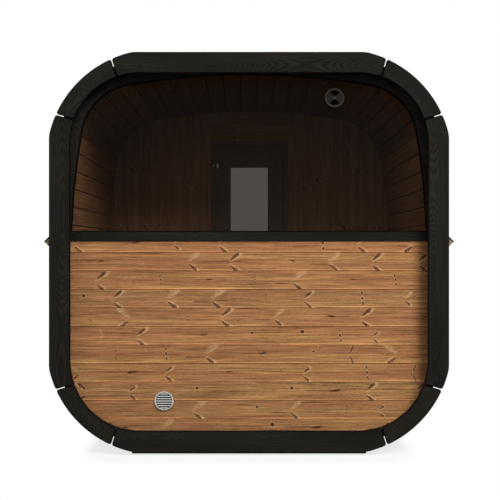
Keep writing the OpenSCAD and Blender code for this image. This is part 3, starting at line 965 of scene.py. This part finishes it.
def stave_corner(heap, side, first):
    """Staves of a rounded corner."""
    step = (90 - 2 * bow_angle) / corner_staves
    for order in range(corner_staves):
        angle = bow_angle + (order + 0.5) * step
        stave = wedge_stave(first + order, corner_radius, step)
        radial = shift(corner_place, 0, corner_place) @ turn(angle, "Y")
        radial = radial @ shift(0, 0, corner_radius + stave_thick / 2)
        gather(heap, stave, Matrix.Translation(middle) @ turn(side, "Y") @ radial)


print("staves in the shell:", 4 * (side_staves + corner_staves))

# %% Lay up the shell
sides = {"shell_roof": 0, "shell_wall_right": 90, "shell_floor": 180, "shell_wall_left": 270}
for order, (node, side) in enumerate(sides.items()):
    heap = bmesh.new()
    stave_side(heap, side, first=order * 20)
    hand_over(heap, node + "_staves", stave_pine if side else roof_pine_shaded, (node,))
for node, turns in {"shell_corners_upper": (0, 270), "shell_corners_lower": (90, 180)}.items():
    heap = bmesh.new()
    for side in turns:
        stave_corner(heap, side, first=100 + side // 10)
    finish = shoulder_pine_shaded if "upper" in node else stave_pine
    hand_over(heap, node + "_staves", finish, (node,))

# %% [markdown]
# ## Boarded walls
#
# The end walls are boards laid over the whole opening and then trimmed to its outline. A Boolean modifier
# does the trimming: it keeps what the boards and the construction's wall have in common, with its round hole
# for the vent. The wall that cuts is made a little thicker than the boards first, because faces that lie in
# one plane confuse a Boolean.

# %% Trim boards to a wall
overcut = 0.02


def trim_to(heap, node, name, finish):
    """Cuts a heap of boards to the outline of a construction node."""
    cutter_shape = merged(node)
    low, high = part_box(node)
    for vert in cutter_shape.verts:
        vert.co.y += overcut if vert.co.y > (low.y + high.y) / 2 else -overcut
    meshes = [bpy.data.meshes.new(label) for label in ("boards", "cutter")]
    for shape, mesh in zip((heap, cutter_shape), meshes):
        shape.to_mesh(mesh)
        shape.free()
    boards, cutter = [bpy.data.objects.new(mesh.name, mesh) for mesh in meshes]
    for tool in (boards, cutter):
        bpy.context.scene.collection.objects.link(tool)
    trim = boards.modifiers.new("trim", "BOOLEAN")
    trim.operation = "INTERSECT"
    trim.solver = "EXACT"
    trim.object = cutter
    ready = boards.evaluated_get(bpy.context.evaluated_depsgraph_get())
    result = bpy.data.meshes.new_from_object(ready)
    result.name = name
    for tool in (boards, cutter):
        bpy.data.objects.remove(tool)
    return hand_over(result, name, finish, (node,), sharp=25.0)


print("the cutting wall is", 2 * overcut * 1000, "mm thicker")

# %% Lower wall under the window
level_place = Matrix(((0, 1, 0), (0, 0, 1), (1, 0, 0))).to_4x4()
wall_low, wall_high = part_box("window_wall")
wall_y = (wall_low.y + wall_high.y) / 2
board_pitch = 0.1135
board_thick = wall_high.y - wall_low.y
first_joint = middle.z - 0.003
wall_boards = bmesh.new()
for order in range(12):
    board = flat_board(order, 2.34, board_pitch - 0.0016, board_thick - 0.004, 0.0029, lip=0.0018)
    height = first_joint - (order - 0.5) * board_pitch
    gather(wall_boards, board, shift(0, wall_y, height) @ level_place)
trim_to(wall_boards, "window_wall", "window_wall_boards", wall_pine)

# %% Door wall: upright boards beside the door, level boards above and below it
upright_place = Matrix(((-1, 0, 0), (0, 0, 1), (0, 1, 0))).to_4x4()
door_low, door_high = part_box("door_wall_left")
door_wall_y = (door_low.y + door_high.y) / 2
door_thick = door_high.y - door_low.y - 0.004
upright_pitch = 0.1105
inner_gap = 0.0012
inner_planed = 0.0024
inner_lip = 0.0016
for side, node in ((-1, "door_wall_left"), (1, "door_wall_right")):
    low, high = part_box(node)
    edge = high.x if side < 0 else low.x
    heap = bmesh.new()
    for order in range(8):
        board = flat_board(
            20 + order, 2.36, upright_pitch - inner_gap, door_thick, inner_planed, lip=inner_lip)
        place = edge + side * (order + 0.5) * upright_pitch
        gather(heap, board, shift(place, door_wall_y, middle.z) @ upright_place)
    trim_to(heap, node, node + "_boards", inner_pine)
for node, count in (("door_wall_over", 3), ("door_wall_sill", 1)):
    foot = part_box(node)[0].z
    heap = bmesh.new()
    for order in range(count):
        board = flat_board(40 + order, 0.9, board_pitch - inner_gap, door_thick, inner_planed, lip=inner_lip)
        height = foot + (order + 0.5) * board_pitch
        gather(heap, board, shift(0, door_wall_y, height) @ level_place)
    trim_to(heap, node, node + "_boards", inner_pine)

# %% [markdown]
# ## The window
#
# A black rail closes the boarded wall, and a black frame follows the curve of the shell. The pane sits in the
# middle of the frame's depth. A strip of black rubber seals its edge on both sides: it is the pane's own
# outline, drawn in by its width.

# %% Rail and frame
dress("window_rail", black_timber, 0.003, Vector((0, 0, -9)), 4, first=61)
for order, part in enumerate(("sides", "top", "corners")):
    dress("window_frame_" + part, frame_timber, 0.003, middle, 8, first=63 + 3 * order)


# %% Panes
def recoat(node, finish):
    """Gives a piece of the construction another finish, and leaves its shape alone."""
    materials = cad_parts[node].data.materials
    materials.clear()
    materials.append(finish.owner)
    print(node, "is finished as", finish.owner.name)


recoat("window_glass", window_tint)
recoat("leaf_glass", door_tint)


# %% Rubber seals
def seal(node, name, width, thick, body):
    """A rubber strip along the edge of a pane, on both of its faces."""
    low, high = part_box(node)
    heap = bmesh.new()
    for y, way in ((low.y, -1), (high.y, 1)):
        strip = merged(node)
        strip.normal_update()
        others = [face for face in strip.faces if face.normal.y > -0.9]
        bmesh.ops.delete(strip, geom=others, context="FACES")
        bmesh.ops.translate(strip, vec=(0, y - low.y, 0), verts=strip.verts)
        rim = bmesh.ops.inset_region(strip, faces=strip.faces[:], thickness=width, use_boundary=True)["faces"]
        inner = [face for face in strip.faces if face not in set(rim)]
        bmesh.ops.delete(strip, geom=inner, context="FACES")
        raised = bmesh.ops.extrude_face_region(strip, geom=strip.faces[:])["geom"]
        moved = [item for item in raised if isinstance(item, bmesh.types.BMVert)]
        bmesh.ops.translate(strip, vec=(0, way * thick, 0), verts=moved)
        bmesh.ops.recalc_face_normals(strip, faces=strip.faces[:])
        gather(heap, strip)
    return hand_over(heap, name, rubber, body=body)


seal("window_glass", "window_seal", 0.007, 0.0025, "cabin")
seal("leaf_glass", "leaf_seal", 0.0025, 0.002, "door")

# %% [markdown]
# ## Vents
#
# Both vents are round, so their rims are turned: a profile of a few points is spun about the vent's axis. The
# louvred one in the lower wall has sloping slats and a fly screen behind them. The rotary one in the pane has
# a plate with two openings and a shutter that turns behind it. Its plate and shutter keep the construction's
# outlines. A raised rim and a cap, lighter as a painted highlight, are turned and laid on the plate, and a
# fine insect screen closes the tube behind the shutter.

# %% Turn a profile
def turned(points, steps, place=Matrix.Identity(4)):
    """Spins a profile of (radius, depth) points about the Y axis through the origin, then places it."""
    shape = bmesh.new()
    verts = [shape.verts.new((radius, depth, 0)) for radius, depth in points]
    edges = [shape.edges.new(pair) for pair in zip(verts, verts[1:])]
    bmesh.ops.spin(
        shape, geom=verts + edges, cent=(0, 0, 0), axis=(0, 1, 0), angle=2 * math.pi, steps=steps,
        use_merge=True)
    bmesh.ops.remove_doubles(shape, verts=shape.verts, dist=1e-6)
    bmesh.ops.recalc_face_normals(shape, faces=shape.faces)
    bmesh.ops.transform(shape, matrix=place, verts=shape.verts)
    return shape


def disc(radius, thick, place):
    """A round plate, its axis along Y."""
    return turned([(0.0, 0.0), (radius, 0.0), (radius, thick), (0.0, thick)], 48, place)


print("a turned piece closes after", round(math.degrees(2 * math.pi)), "degrees")

# %% Louvred vent
vent_low, vent_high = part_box("vent_grille")
vent_middle = (vent_low + vent_high) / 2
vent_radius = (vent_high.x - vent_low.x) / 2
vent_bore = 0.0497
vent_tube = 0.0517
vent_place = shift(vent_middle.x, vent_low.y, vent_middle.z)
rim_profile = [
    (vent_bore, 0.052), (vent_bore, 0.0035), (vent_bore + 0.001, 0.0016), (vent_bore + 0.003, 0.0004),
    (vent_bore + 0.0052, 0.0), (vent_radius - 0.004, 0.0008), (vent_radius - 0.0015, 0.002),
    (vent_radius - 0.0002, 0.0045), (vent_radius, 0.0065), (vent_radius, 0.01), (vent_tube, 0.01),
    (vent_tube, 0.052), (vent_bore, 0.052)]
grille = turned(rim_profile, 96, vent_place)
print("rim of", len(rim_profile), "points, radius", round(vent_radius * 1000, 1), "mm")

# %% Louvres
louvre_count = 7
louvre_pitch = 2 * vent_bore / louvre_count
louvre_tilt = -26
for order in range(louvre_count):
    height = (order - (louvre_count - 1) / 2) * louvre_pitch
    reach = min(abs(height) + 0.002, vent_bore - 0.004)
    chord = 2 * math.sqrt(vent_bore ** 2 - reach ** 2) + 0.001
    slat = block(chord, 0.0014, 0.0068)
    plane_off(slat, [edge for edge in slat.edges if abs(run_of(edge).x) > chord / 2], 0.0005, segments=2)
    gather(grille, slat, vent_place @ shift(0, 0.0053, height) @ turn(louvre_tilt, "X"))
hand_over(grille, "louvred_vent", aluminium, ("vent_grille",))

# %% Fly screen behind the louvres
fly_screen = disc(0.0514, 0.0012, vent_place @ shift(0, 0.022, 0))
hand_over(fly_screen, "fly_screen", rubber)

# %% Rotary vent
rose_low, rose_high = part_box("vent_rosette")
rose_middle = (rose_low + rose_high) / 2
rose_place = shift(rose_middle.x, rose_low.y, rose_middle.z)
rose = hand_over(merged("vent_rosette"), "rotary_vent", graphite, ("vent_rosette",))
soften(rose, 0.0009)
ridge_profile = [
    (0.0505, 0.0004), (0.0515, -0.0006), (0.0535, -0.0011), (0.0565, -0.0009), (0.0585, 0.0002),
    (0.0585, 0.001), (0.0505, 0.001), (0.0505, 0.0004)]
cap_profile = [(0.0, -0.0022), (0.005, -0.002), (0.0085, -0.0008), (0.0098, 0.0006), (0.0, 0.0006)]
ridge = turned(ridge_profile, 96, rose_place)
gather(ridge, turned(cap_profile, 48, rose_place))
# The rim and cap are lighter as a painted highlight.
hand_over(ridge, "rotary_vent_rim", graphite_sheen)

# %% Insect screen of the rotary vent
shutter_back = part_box("vent_shutter")[1].y
insect_screen = disc(0.0485, 0.0008, shift(rose_middle.x, shutter_back + 0.002, rose_middle.z))
hand_over(insect_screen, "rotary_vent_screen", rubber)

# %% Shutter of the rotary vent
shutter = hand_over(
    merged("vent_shutter"), "vent_shutter_turned", graphite, ("vent_shutter",), "shutter")
soften(shutter, 0.0007)

# %% [markdown]
# ## The door
#
# Jambs, head and threshold are plain stained planks. The leaf is built like a frame-and-panel door: two
# stiles, two rails and a tall pane between them, held by slim beads. Slim bars in front of the leaf's edge
# close the gap round it.

# %% Frame and leaf
door_middle = (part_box("door_threshold")[0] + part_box("door_head")[1]) / 2
for order, node in enumerate(("door_jambs", "door_head", "door_threshold")):
    dress(node, door_timber, 0.0025, door_middle, 4, first=73 + 2 * order)
pane_low, pane_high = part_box("leaf_glass")
pane_middle = (pane_low + pane_high) / 2
for order, node in enumerate(("leaf_stile_latch", "leaf_stile_hinge", "leaf_rail_top", "leaf_rail_bottom")):
    steps = 4 if "rail" in node else 2
    dress(node, door_timber, 0.003, pane_middle, steps, "door", first=80 + order)


# %% Bars round an opening
def bars_round(low, high, y, wide, deep, edge):
    """Four bars with soft edges round a rectangle in X and Z, at depth y and deep towards +Y, outside it."""
    heap = bmesh.new()
    middle_x, middle_z = (low.x + high.x) / 2, (low.z + high.z) / 2
    width, height = high.x - low.x, high.z - low.z
    for right, up in ((0, 1), (0, -1), (1, 0), (-1, 0)):
        bar = block(wide, deep, height) if right else block(width + 2 * wide, deep, wide)
        plane_off(bar, bar.edges[:], edge, segments=2)
        x = middle_x + right * (width + wide) / 2
        z = middle_z + up * (height + wide) / 2
        gather(heap, bar, shift(x, y + deep / 2, z))
    return heap


print("the leaf's pane is", round(pane_high.z - pane_low.z, 3), "m tall")

# %% Glazing beads of the leaf
stile_low, stile_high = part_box("leaf_stile_hinge")
leaf_back, leaf_front = stile_low.y, stile_high.y
bead_sizes = (0.009, 0.005, 0.0015)
beads = bars_round(pane_low, pane_high, leaf_back - 0.003, *bead_sizes)
gather(beads, bars_round(pane_low, pane_high, leaf_front - 0.002, *bead_sizes))
grain_around(beads, pane_middle, 4, 88)
hand_over(beads, "leaf_beads", door_timber, body="door")

# %% Door seal in front of the leaf's edge
latch_low, latch_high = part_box("leaf_stile_latch")
seal_inset = 0.004
stop_low = Vector((latch_low.x + seal_inset, 0, latch_low.z + seal_inset))
stop_high = Vector((stile_high.x - seal_inset, 0, latch_high.z - seal_inset))
door_seal = bars_round(stop_low, stop_high, leaf_back - 0.011, 0.0118, 0.0095, 0.002)
hand_over(door_seal, "door_seal", door_timber)

# %% [markdown]
# ## Door fittings
#
# Three lift-off hinges carry the leaf. A turned wooden grip on two steel posts stands on each face. The catch
# is a button on the jamb, near-white as a painted glint, and a brass-coloured lug on the leaf, made pale as a
# painted highlight, both small. The hinge halves keep the construction's shape, because their knuckles and
# pins have to run free, and gain screws.

# %% Hinges
for side, body in (("frame", "cabin"), ("leaf", "door")):
    node = f"hinges_{side}_side"
    soften(hand_over(merged(node), "hinges_on_" + side, steel, (node,), body), 0.0006)

# %% A screw head
screw_radius = 0.0032
screw_height = 0.0014


def screw_head(heap, place):
    """A domed screw head with a hexagon socket, its axis along Y and its top towards -Y."""
    profile = [
        (0.0, 0.0), (screw_radius * 0.75, 0.0), (screw_radius, screw_height * 0.5),
        (screw_radius, screw_height), (0.0, screw_height)]
    socket_radius = screw_radius * 0.42
    socket = bmesh.new()
    bmesh.ops.create_cone(
        socket, cap_ends=True, segments=6, radius1=socket_radius, radius2=socket_radius,
        depth=screw_height * 0.4)
    bmesh.ops.transform(socket, matrix=turn(90, "X"), verts=socket.verts)
    gather(heap, turned(profile, 16), place)
    gather(heap, socket, place)


print("a screw head is", 2 * screw_radius * 1000, "mm across")

# %% Hinge screws
hinge_low, hinge_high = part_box("hinges_leaf_side")
frame_hinge_low, frame_hinge_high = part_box("hinges_frame_side")
hinge_height = 0.034
hinge_pitch = (hinge_high.z - hinge_low.z - hinge_height) / 2
screw_inset = 0.011
plate_y = leaf_front + 0.003
for name, body, plate_x, foot in (
        ("hinge_screws_leaf", "door", hinge_low.x + screw_inset, hinge_low.z),
        ("hinge_screws_frame", "cabin", frame_hinge_high.x - screw_inset, frame_hinge_low.z)):
    heap = bmesh.new()
    for order in range(3):
        for rise in (0.009, 0.025):
            height = foot + order * hinge_pitch + rise
            screw_head(heap, shift(plate_x, plate_y + 0.0012, height) @ turn(180, "Z"))
    hand_over(heap, name, steel, body=body)


# %% Oiled wood of the grips
def turned_wood(name, light, dark):
    """Oiled wood turned on a lathe, with the grain along Z in Object coordinates."""
    finish = new_finish(name)
    place = finish.place()
    drawn = finish.node("ShaderNodeMapping", {}, {"Vector": place, "Scale": (220.0, 220.0, 7.0)})
    lines = finish.noise(drawn, 3.0, 0.6)
    cloud = finish.noise(place, 2.0, 0.5, 12.0)
    wood = finish.mix(lines.rise(0.3, 0.7) * 0.7 + cloud * 0.3, light, dark)
    finish.surface(wood, 0.38 + lines * 0.2, Normal=finish.relief(lines, 0.0004, 0.5))
    return finish


grip_wood = turned_wood("handle_wood", colour(0.26, 0.13, 0.058), colour(0.15, 0.066, 0.028))

# %% Profiles of a grip and of its posts
grip_low, grip_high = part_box("door_handles")
grip_x = (grip_low.x + grip_high.x) / 2
grip_z = (grip_low.z + grip_high.z) / 2
grip_length = grip_high.z - grip_low.z
grip_radius = (grip_high.x - grip_low.x) / 2
grip_profile = [
    (0.0, 0.0), (grip_radius - 0.005, 0.0), (grip_radius - 0.0025, 0.0012), (grip_radius - 0.001, 0.004),
    (grip_radius - 0.001, 0.020), (grip_radius - 0.0022, 0.0215), (grip_radius - 0.0022, 0.0235),
    (grip_radius - 0.001, 0.025), (grip_radius - 0.0004, 0.09), (grip_radius, grip_length / 2)]
grip_profile += [(radius, grip_length - depth) for radius, depth in reversed(grip_profile[:-1])]
post_profile = [
    (0.0, -0.001), (0.0105, -0.001), (0.0115, 0.0005), (0.0115, 0.0022), (0.0105, 0.003), (0.0072, 0.0034),
    (0.0062, 0.006), (0.0062, 0.030), (0.007, 0.0325), (0.007, 0.047), (0.0, 0.047)]
print("grips are", round(grip_length * 1000), "mm long")

# %% Turned grips and their posts
post_reach = 0.130
grips = bmesh.new()
posts = bmesh.new()
outside = (latch_high.y, Matrix.Identity(4), grip_high.y - grip_radius)
inside = (latch_low.y, turn(180, "Z"), grip_low.y + grip_radius)
for face_y, facing, axis_y in (outside, inside):
    grip_place = shift(grip_x, axis_y, grip_z - grip_length / 2) @ turn(90, "X")
    gather(grips, turned(grip_profile, 48, grip_place))
    for side in (-1, 1):
        post_place = shift(grip_x, face_y, grip_z + side * post_reach) @ facing
        gather(posts, turned(post_profile, 32, post_place))
hand_over(grips, "door_grips", grip_wood, ("door_handles",), "door")
hand_over(posts, "door_grip_posts", steel, body="door")

# %% Catch on the jamb and its lug on the leaf
button_low, button_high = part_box("catch_button")
button_middle = (button_low + button_high) / 2
button_radius = (button_high.x - button_low.x) / 2
button_depth = button_high.y - button_low.y
button_profile = [
    (0.0, 0.0), (button_radius - 0.003, 0.0), (button_radius - 0.001, 0.0008), (button_radius, 0.0025),
    (button_radius, button_depth), (0.0, button_depth)]
button = turned(button_profile, 32, shift(button_middle.x, button_low.y, button_middle.z))
# Painted glint: the catch button is near-white.
hand_over(button, "door_catch_button", button_glint, ("catch_button",))
# The lug's paleness is partly a painted highlight.
lug = hand_over(merged("catch_lug"), "door_catch_lug", brass_with_glint, ("catch_lug",), "door")
soften(lug, 0.0007)

# %% [markdown]
# ## Roof
#
# The cover of the construction stays as the felt underneath and only gets a coat of bare bitumen. On top of
# it lie rows of shingles from the drip battens up to the crown. Each shingle is a thin wedge: its upper end
# lies flat and its lower end stands a few millimetres proud, which casts the fine shadow that makes a
# shingle roof. It is made flat and then bent round the section by moving its corners. Every tab has a number
# of its own, which gives it its tone, and a map of the metres down it, which places its painted shade and
# dirt.

# %% Felt under the shingles
for node in ("roof_cover_top", "roof_cover_corners", "roof_cover_sides"):
    recoat(node, felt_bitumen)

# %% Way round the section
cover_lift = stave_thick + 0.0063
foot_above_middle = 0.111
top_arc = math.radians(bow_angle) * (bow_radius + cover_lift)
corner_arc = math.radians(90 - 2 * bow_angle) * (corner_radius + cover_lift)
side_foot = math.asin(foot_above_middle / (bow_radius + cover_lift))
side_arc = (math.radians(bow_angle) - side_foot) * (bow_radius + cover_lift)


def round_section(way, lift):
    """Where a point lies that is a way round from the crown, and a lift above the cover."""
    big, small = bow_radius + cover_lift, corner_radius + cover_lift
    side = math.copysign(1, way)
    way = abs(way)
    if way <= top_arc:
        angle = way / big
        x, z = (big + lift) * math.sin(angle), (big + lift) * math.cos(angle) - bow_drop
    elif way <= top_arc + corner_arc:
        angle = math.radians(bow_angle) + (way - top_arc) / small
        x = corner_place + (small + lift) * math.sin(angle)
        z = corner_place + (small + lift) * math.cos(angle)
    else:
        angle = math.radians(90 - bow_angle) + (way - top_arc - corner_arc) / big
        x, z = (big + lift) * math.sin(angle) - bow_drop, (big + lift) * math.cos(angle)
    return side * x, middle.z + z


print("way from crown to foot:", round(top_arc + corner_arc + side_arc, 3))

# %% A shingle
tab_thin, tab_thick = 0.0004, 0.0029
bending_cuts = (-0.25, 0.0, 0.25)


def lay_tab(part, number, length, way):
    """Writes the grain map of a tab that is still a unit cube: metres down it, and its number."""
    layer = part.loops.layers.uv.new("grain")
    for face in part.faces:
        for loop in face.loops:
            loop[layer].uv = ((0.5 + way * loop.vert.co.y) * length, number + 0.5)


def shingle(heap, number, start, end, left, right):
    """A wedge from start (upper end) to end (lower end) round the section, bent to fit."""
    part = block(1, 1, 1)
    lower = [edge for edge in part.edges if all(vert.co.y > 0 and vert.co.z > 0 for vert in edge.verts)]
    plane_off(part, lower, 0.04)
    for place in bending_cuts:
        slice_at(part, (0, place, 0), (0, 1, 0))
    lay_tab(part, number, end - start, 1)
    for vert in part.verts:
        down = vert.co.y + 0.5
        way = start + (end - start) * down
        y = left + (right - left) * (vert.co.x + 0.5)
        lift = (vert.co.z + 0.5) * (tab_thin + (tab_thick - tab_thin) * down)
        x, z = round_section(way, lift)
        vert.co = Vector((x, y, z))
    gather(heap, part)


print("a tab grows from", tab_thin * 1000, "to", tab_thick * 1000, "mm")

# %% Rows of shingles
dice = random.Random(7)
rows = 13
cap_half = 0.085
row_height = (top_arc + corner_arc + side_arc - cap_half) / rows
tabs_to_a_row = 8
tab_width = 2 * stave_end / tabs_to_a_row
half_gap = 0.0025
least_tab = 0.02
tabs = bmesh.new()
for side in (-1, 1):
    for row in range(rows):
        start = cap_half + row * row_height
        offset = (row % 2) * tab_width / 2
        for order in range(tabs_to_a_row + 1):
            left = max(-stave_end + order * tab_width - offset + half_gap, -stave_end)
            right = min(-stave_end + (order + 1) * tab_width - offset - half_gap, stave_end)
            if right - left < least_tab:
                continue
            slip = dice.uniform(-0.0025, 0.0)
            end = start + row_height + slip
            number = 300 + side * 150 + row * 9 + order
            shingle(tabs, number, side * start, side * end, left, right)
bmesh.ops.recalc_face_normals(tabs, faces=tabs.faces)
hand_over(tabs, "roof_shingles", shingle_grit, sharp=20.0)

# %% Ridge caps
caps = bmesh.new()
cap_count = 15
cap_length = 2 * stave_end / cap_count
cap_thin, cap_rise = 0.0005, 0.0026
for order in range(cap_count):
    part = block(1, 1, 1)
    for place in bending_cuts:
        slice_at(part, (place, 0, 0), (1, 0, 0))
    lay_tab(part, 600 + order, cap_length, -1)
    for vert in part.verts:
        y = -stave_end + cap_length * (order + vert.co.y + 0.5)
        lift = (vert.co.z + 0.5) * (cap_thin + cap_rise * (0.5 - vert.co.y))
        x, z = round_section(vert.co.x * 2 * cap_half, lift)
        vert.co = Vector((x, y, z))
    gather(caps, part)
hand_over(caps, "ridge_caps", shingle_grit, sharp=20.0)

# %% [markdown]
# ## Drip battens
#
# A three-cornered batten on each side throws rain clear of the wall below. Its upper face is under the felt,
# so brown wood shows only below and at its ends.

# %% Drip battens
dress("drip_battens", batten_pine, 0.0015, Vector((0, 0, 1.279)), 2, first=95)

# %% [markdown]
# ## Studio
#
# A pale floor, a white surround and three soft lamps: a large key lamp in front on the right, a weak fill on
# the left and a faint one low in front. What the camera, mirrors and glass see of the surround is plain
# white, while what lights the object is a calmer level, so colours come out about as they are written. The
# floor shows the same white through a veil. The veil is thinner under the cabin and close round it, so that
# the object keeps its shadow.

# %% Floor
def seen_directly(finish):
    """1 for rays of the camera, of mirrors and of glass, and 0 for all others."""
    names = ("Is Camera Ray", "Is Glossy Ray", "Is Transmission Ray")
    camera_ray, glossy_ray, glass_ray = finish.node("ShaderNodeLightPath", {}, {}, names)
    return camera_ray.larger(glossy_ray).larger(glass_ray)


veil_least = 0.76
floor_shape = bmesh.new()
bmesh.ops.create_grid(floor_shape, x_segments=1, y_segments=1, size=40.0)
floor_mesh = bpy.data.meshes.new("floor")
floor_shape.to_mesh(floor_mesh)
floor_shape.free()
floor_look = new_finish("studio_floor")
east, north = floor_look.place().parts(0, 1)
direct = seen_directly(floor_look)
past_x = (abs(east) - 0.72).larger(0.0)
past_y = (abs(north) - 0.95).larger(0.0)
away = (past_x * past_x + past_y * past_y).work("SQRT").rise(0.0, 0.35)
pale = floor_look.mix(direct, colour(0.10, 0.10, 0.095), colour(0.92, 0.92, 0.92))
matt = floor_look.node("ShaderNodeBsdfDiffuse", {}, {"Color": pale})
white = floor_look.node("ShaderNodeEmission", {}, {"Color": colour(1, 1, 1), "Strength": 1.0})
veil = away.larger(veil_least)
floor_look.show(floor_look.node("ShaderNodeMixShader", {}, {0: veil * direct, 1: matt, 2: white}))
floor_mesh.materials.append(floor_look.owner)
floor = bpy.data.objects.new("floor", floor_mesh)
bpy.context.scene.collection.objects.link(floor)
floor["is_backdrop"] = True
print("floor laid, veiled by at least", veil_least)

# %% Surround
surround = Finish(bpy.data.worlds.new("surround"))
bpy.context.scene.world = surround.owner
glow = 0.42
level = glow + seen_directly(surround) * (1.0 - glow)
sky = surround.node("ShaderNodeBackground", {}, {"Color": colour(1, 1, 1), "Strength": level})
surround.node("ShaderNodeOutputWorld", {}, {"Surface": sky})
print("surround lights at", glow)


# %% Lamps
def lamp(name, place, target, size, power):
    """A square soft lamp that looks at a target."""
    light = bpy.data.lights.new(name, "AREA")
    light.shape = "SQUARE"
    light.size = size
    light.energy = power
    holder = bpy.data.objects.new(name, light)
    holder.location = place
    holder.rotation_euler = (Vector(target) - Vector(place)).to_track_quat("-Z", "Y").to_euler()
    holder.visible_camera = False
    holder.visible_glossy = False
    bpy.context.scene.collection.objects.link(holder)
    print(name, "at", tuple(place), "with", power, "watts")


lamp("key", (3.7, -7.9, 6.9), (0.0, -1.0, 1.2), 4.0, 862.0)
lamp("fill", (-5.0, -6.8, 5.2), (0.0, -1.0, 1.2), 3.0, 62.0)
lamp("front", (-1.5, -9.0, 2.2), (0.0, -1.0, 1.5), 3.0, 16.0)

# %% [markdown]
# ## Camera
#
# The camera stands square in front of the window end, at half the cabin's height, so that the ring shows
# without lean.

# %% Camera
view = bpy.data.cameras.new("view")
view.sensor_width = 36.0
view.lens = 62.4
view.dof.use_dof = False
camera = bpy.data.objects.new("camera", view)
camera.location = (0.006, -6.240, 1.234)
camera.rotation_euler = (math.radians(90), 0, 0)
bpy.context.scene.collection.objects.link(camera)
bpy.context.scene.camera = camera
bpy.context.scene.view_settings.view_transform = "Standard"
print("camera stands at", tuple(camera.location))

# %% [markdown]
# ## Sizes
#
# The looks must not change the size of the cabin. The box of the construction was kept at the start, and it
# is written down beside the box of what shows now.

# %% Sizes
shown_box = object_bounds()
sizes = {"cad": [list(corner) for corner in cad_box], "shown": [list(corner) for corner in shown_box]}
for label, box in sizes.items():
    print(label, [[round(value, 4) for value in corner] for corner in box])
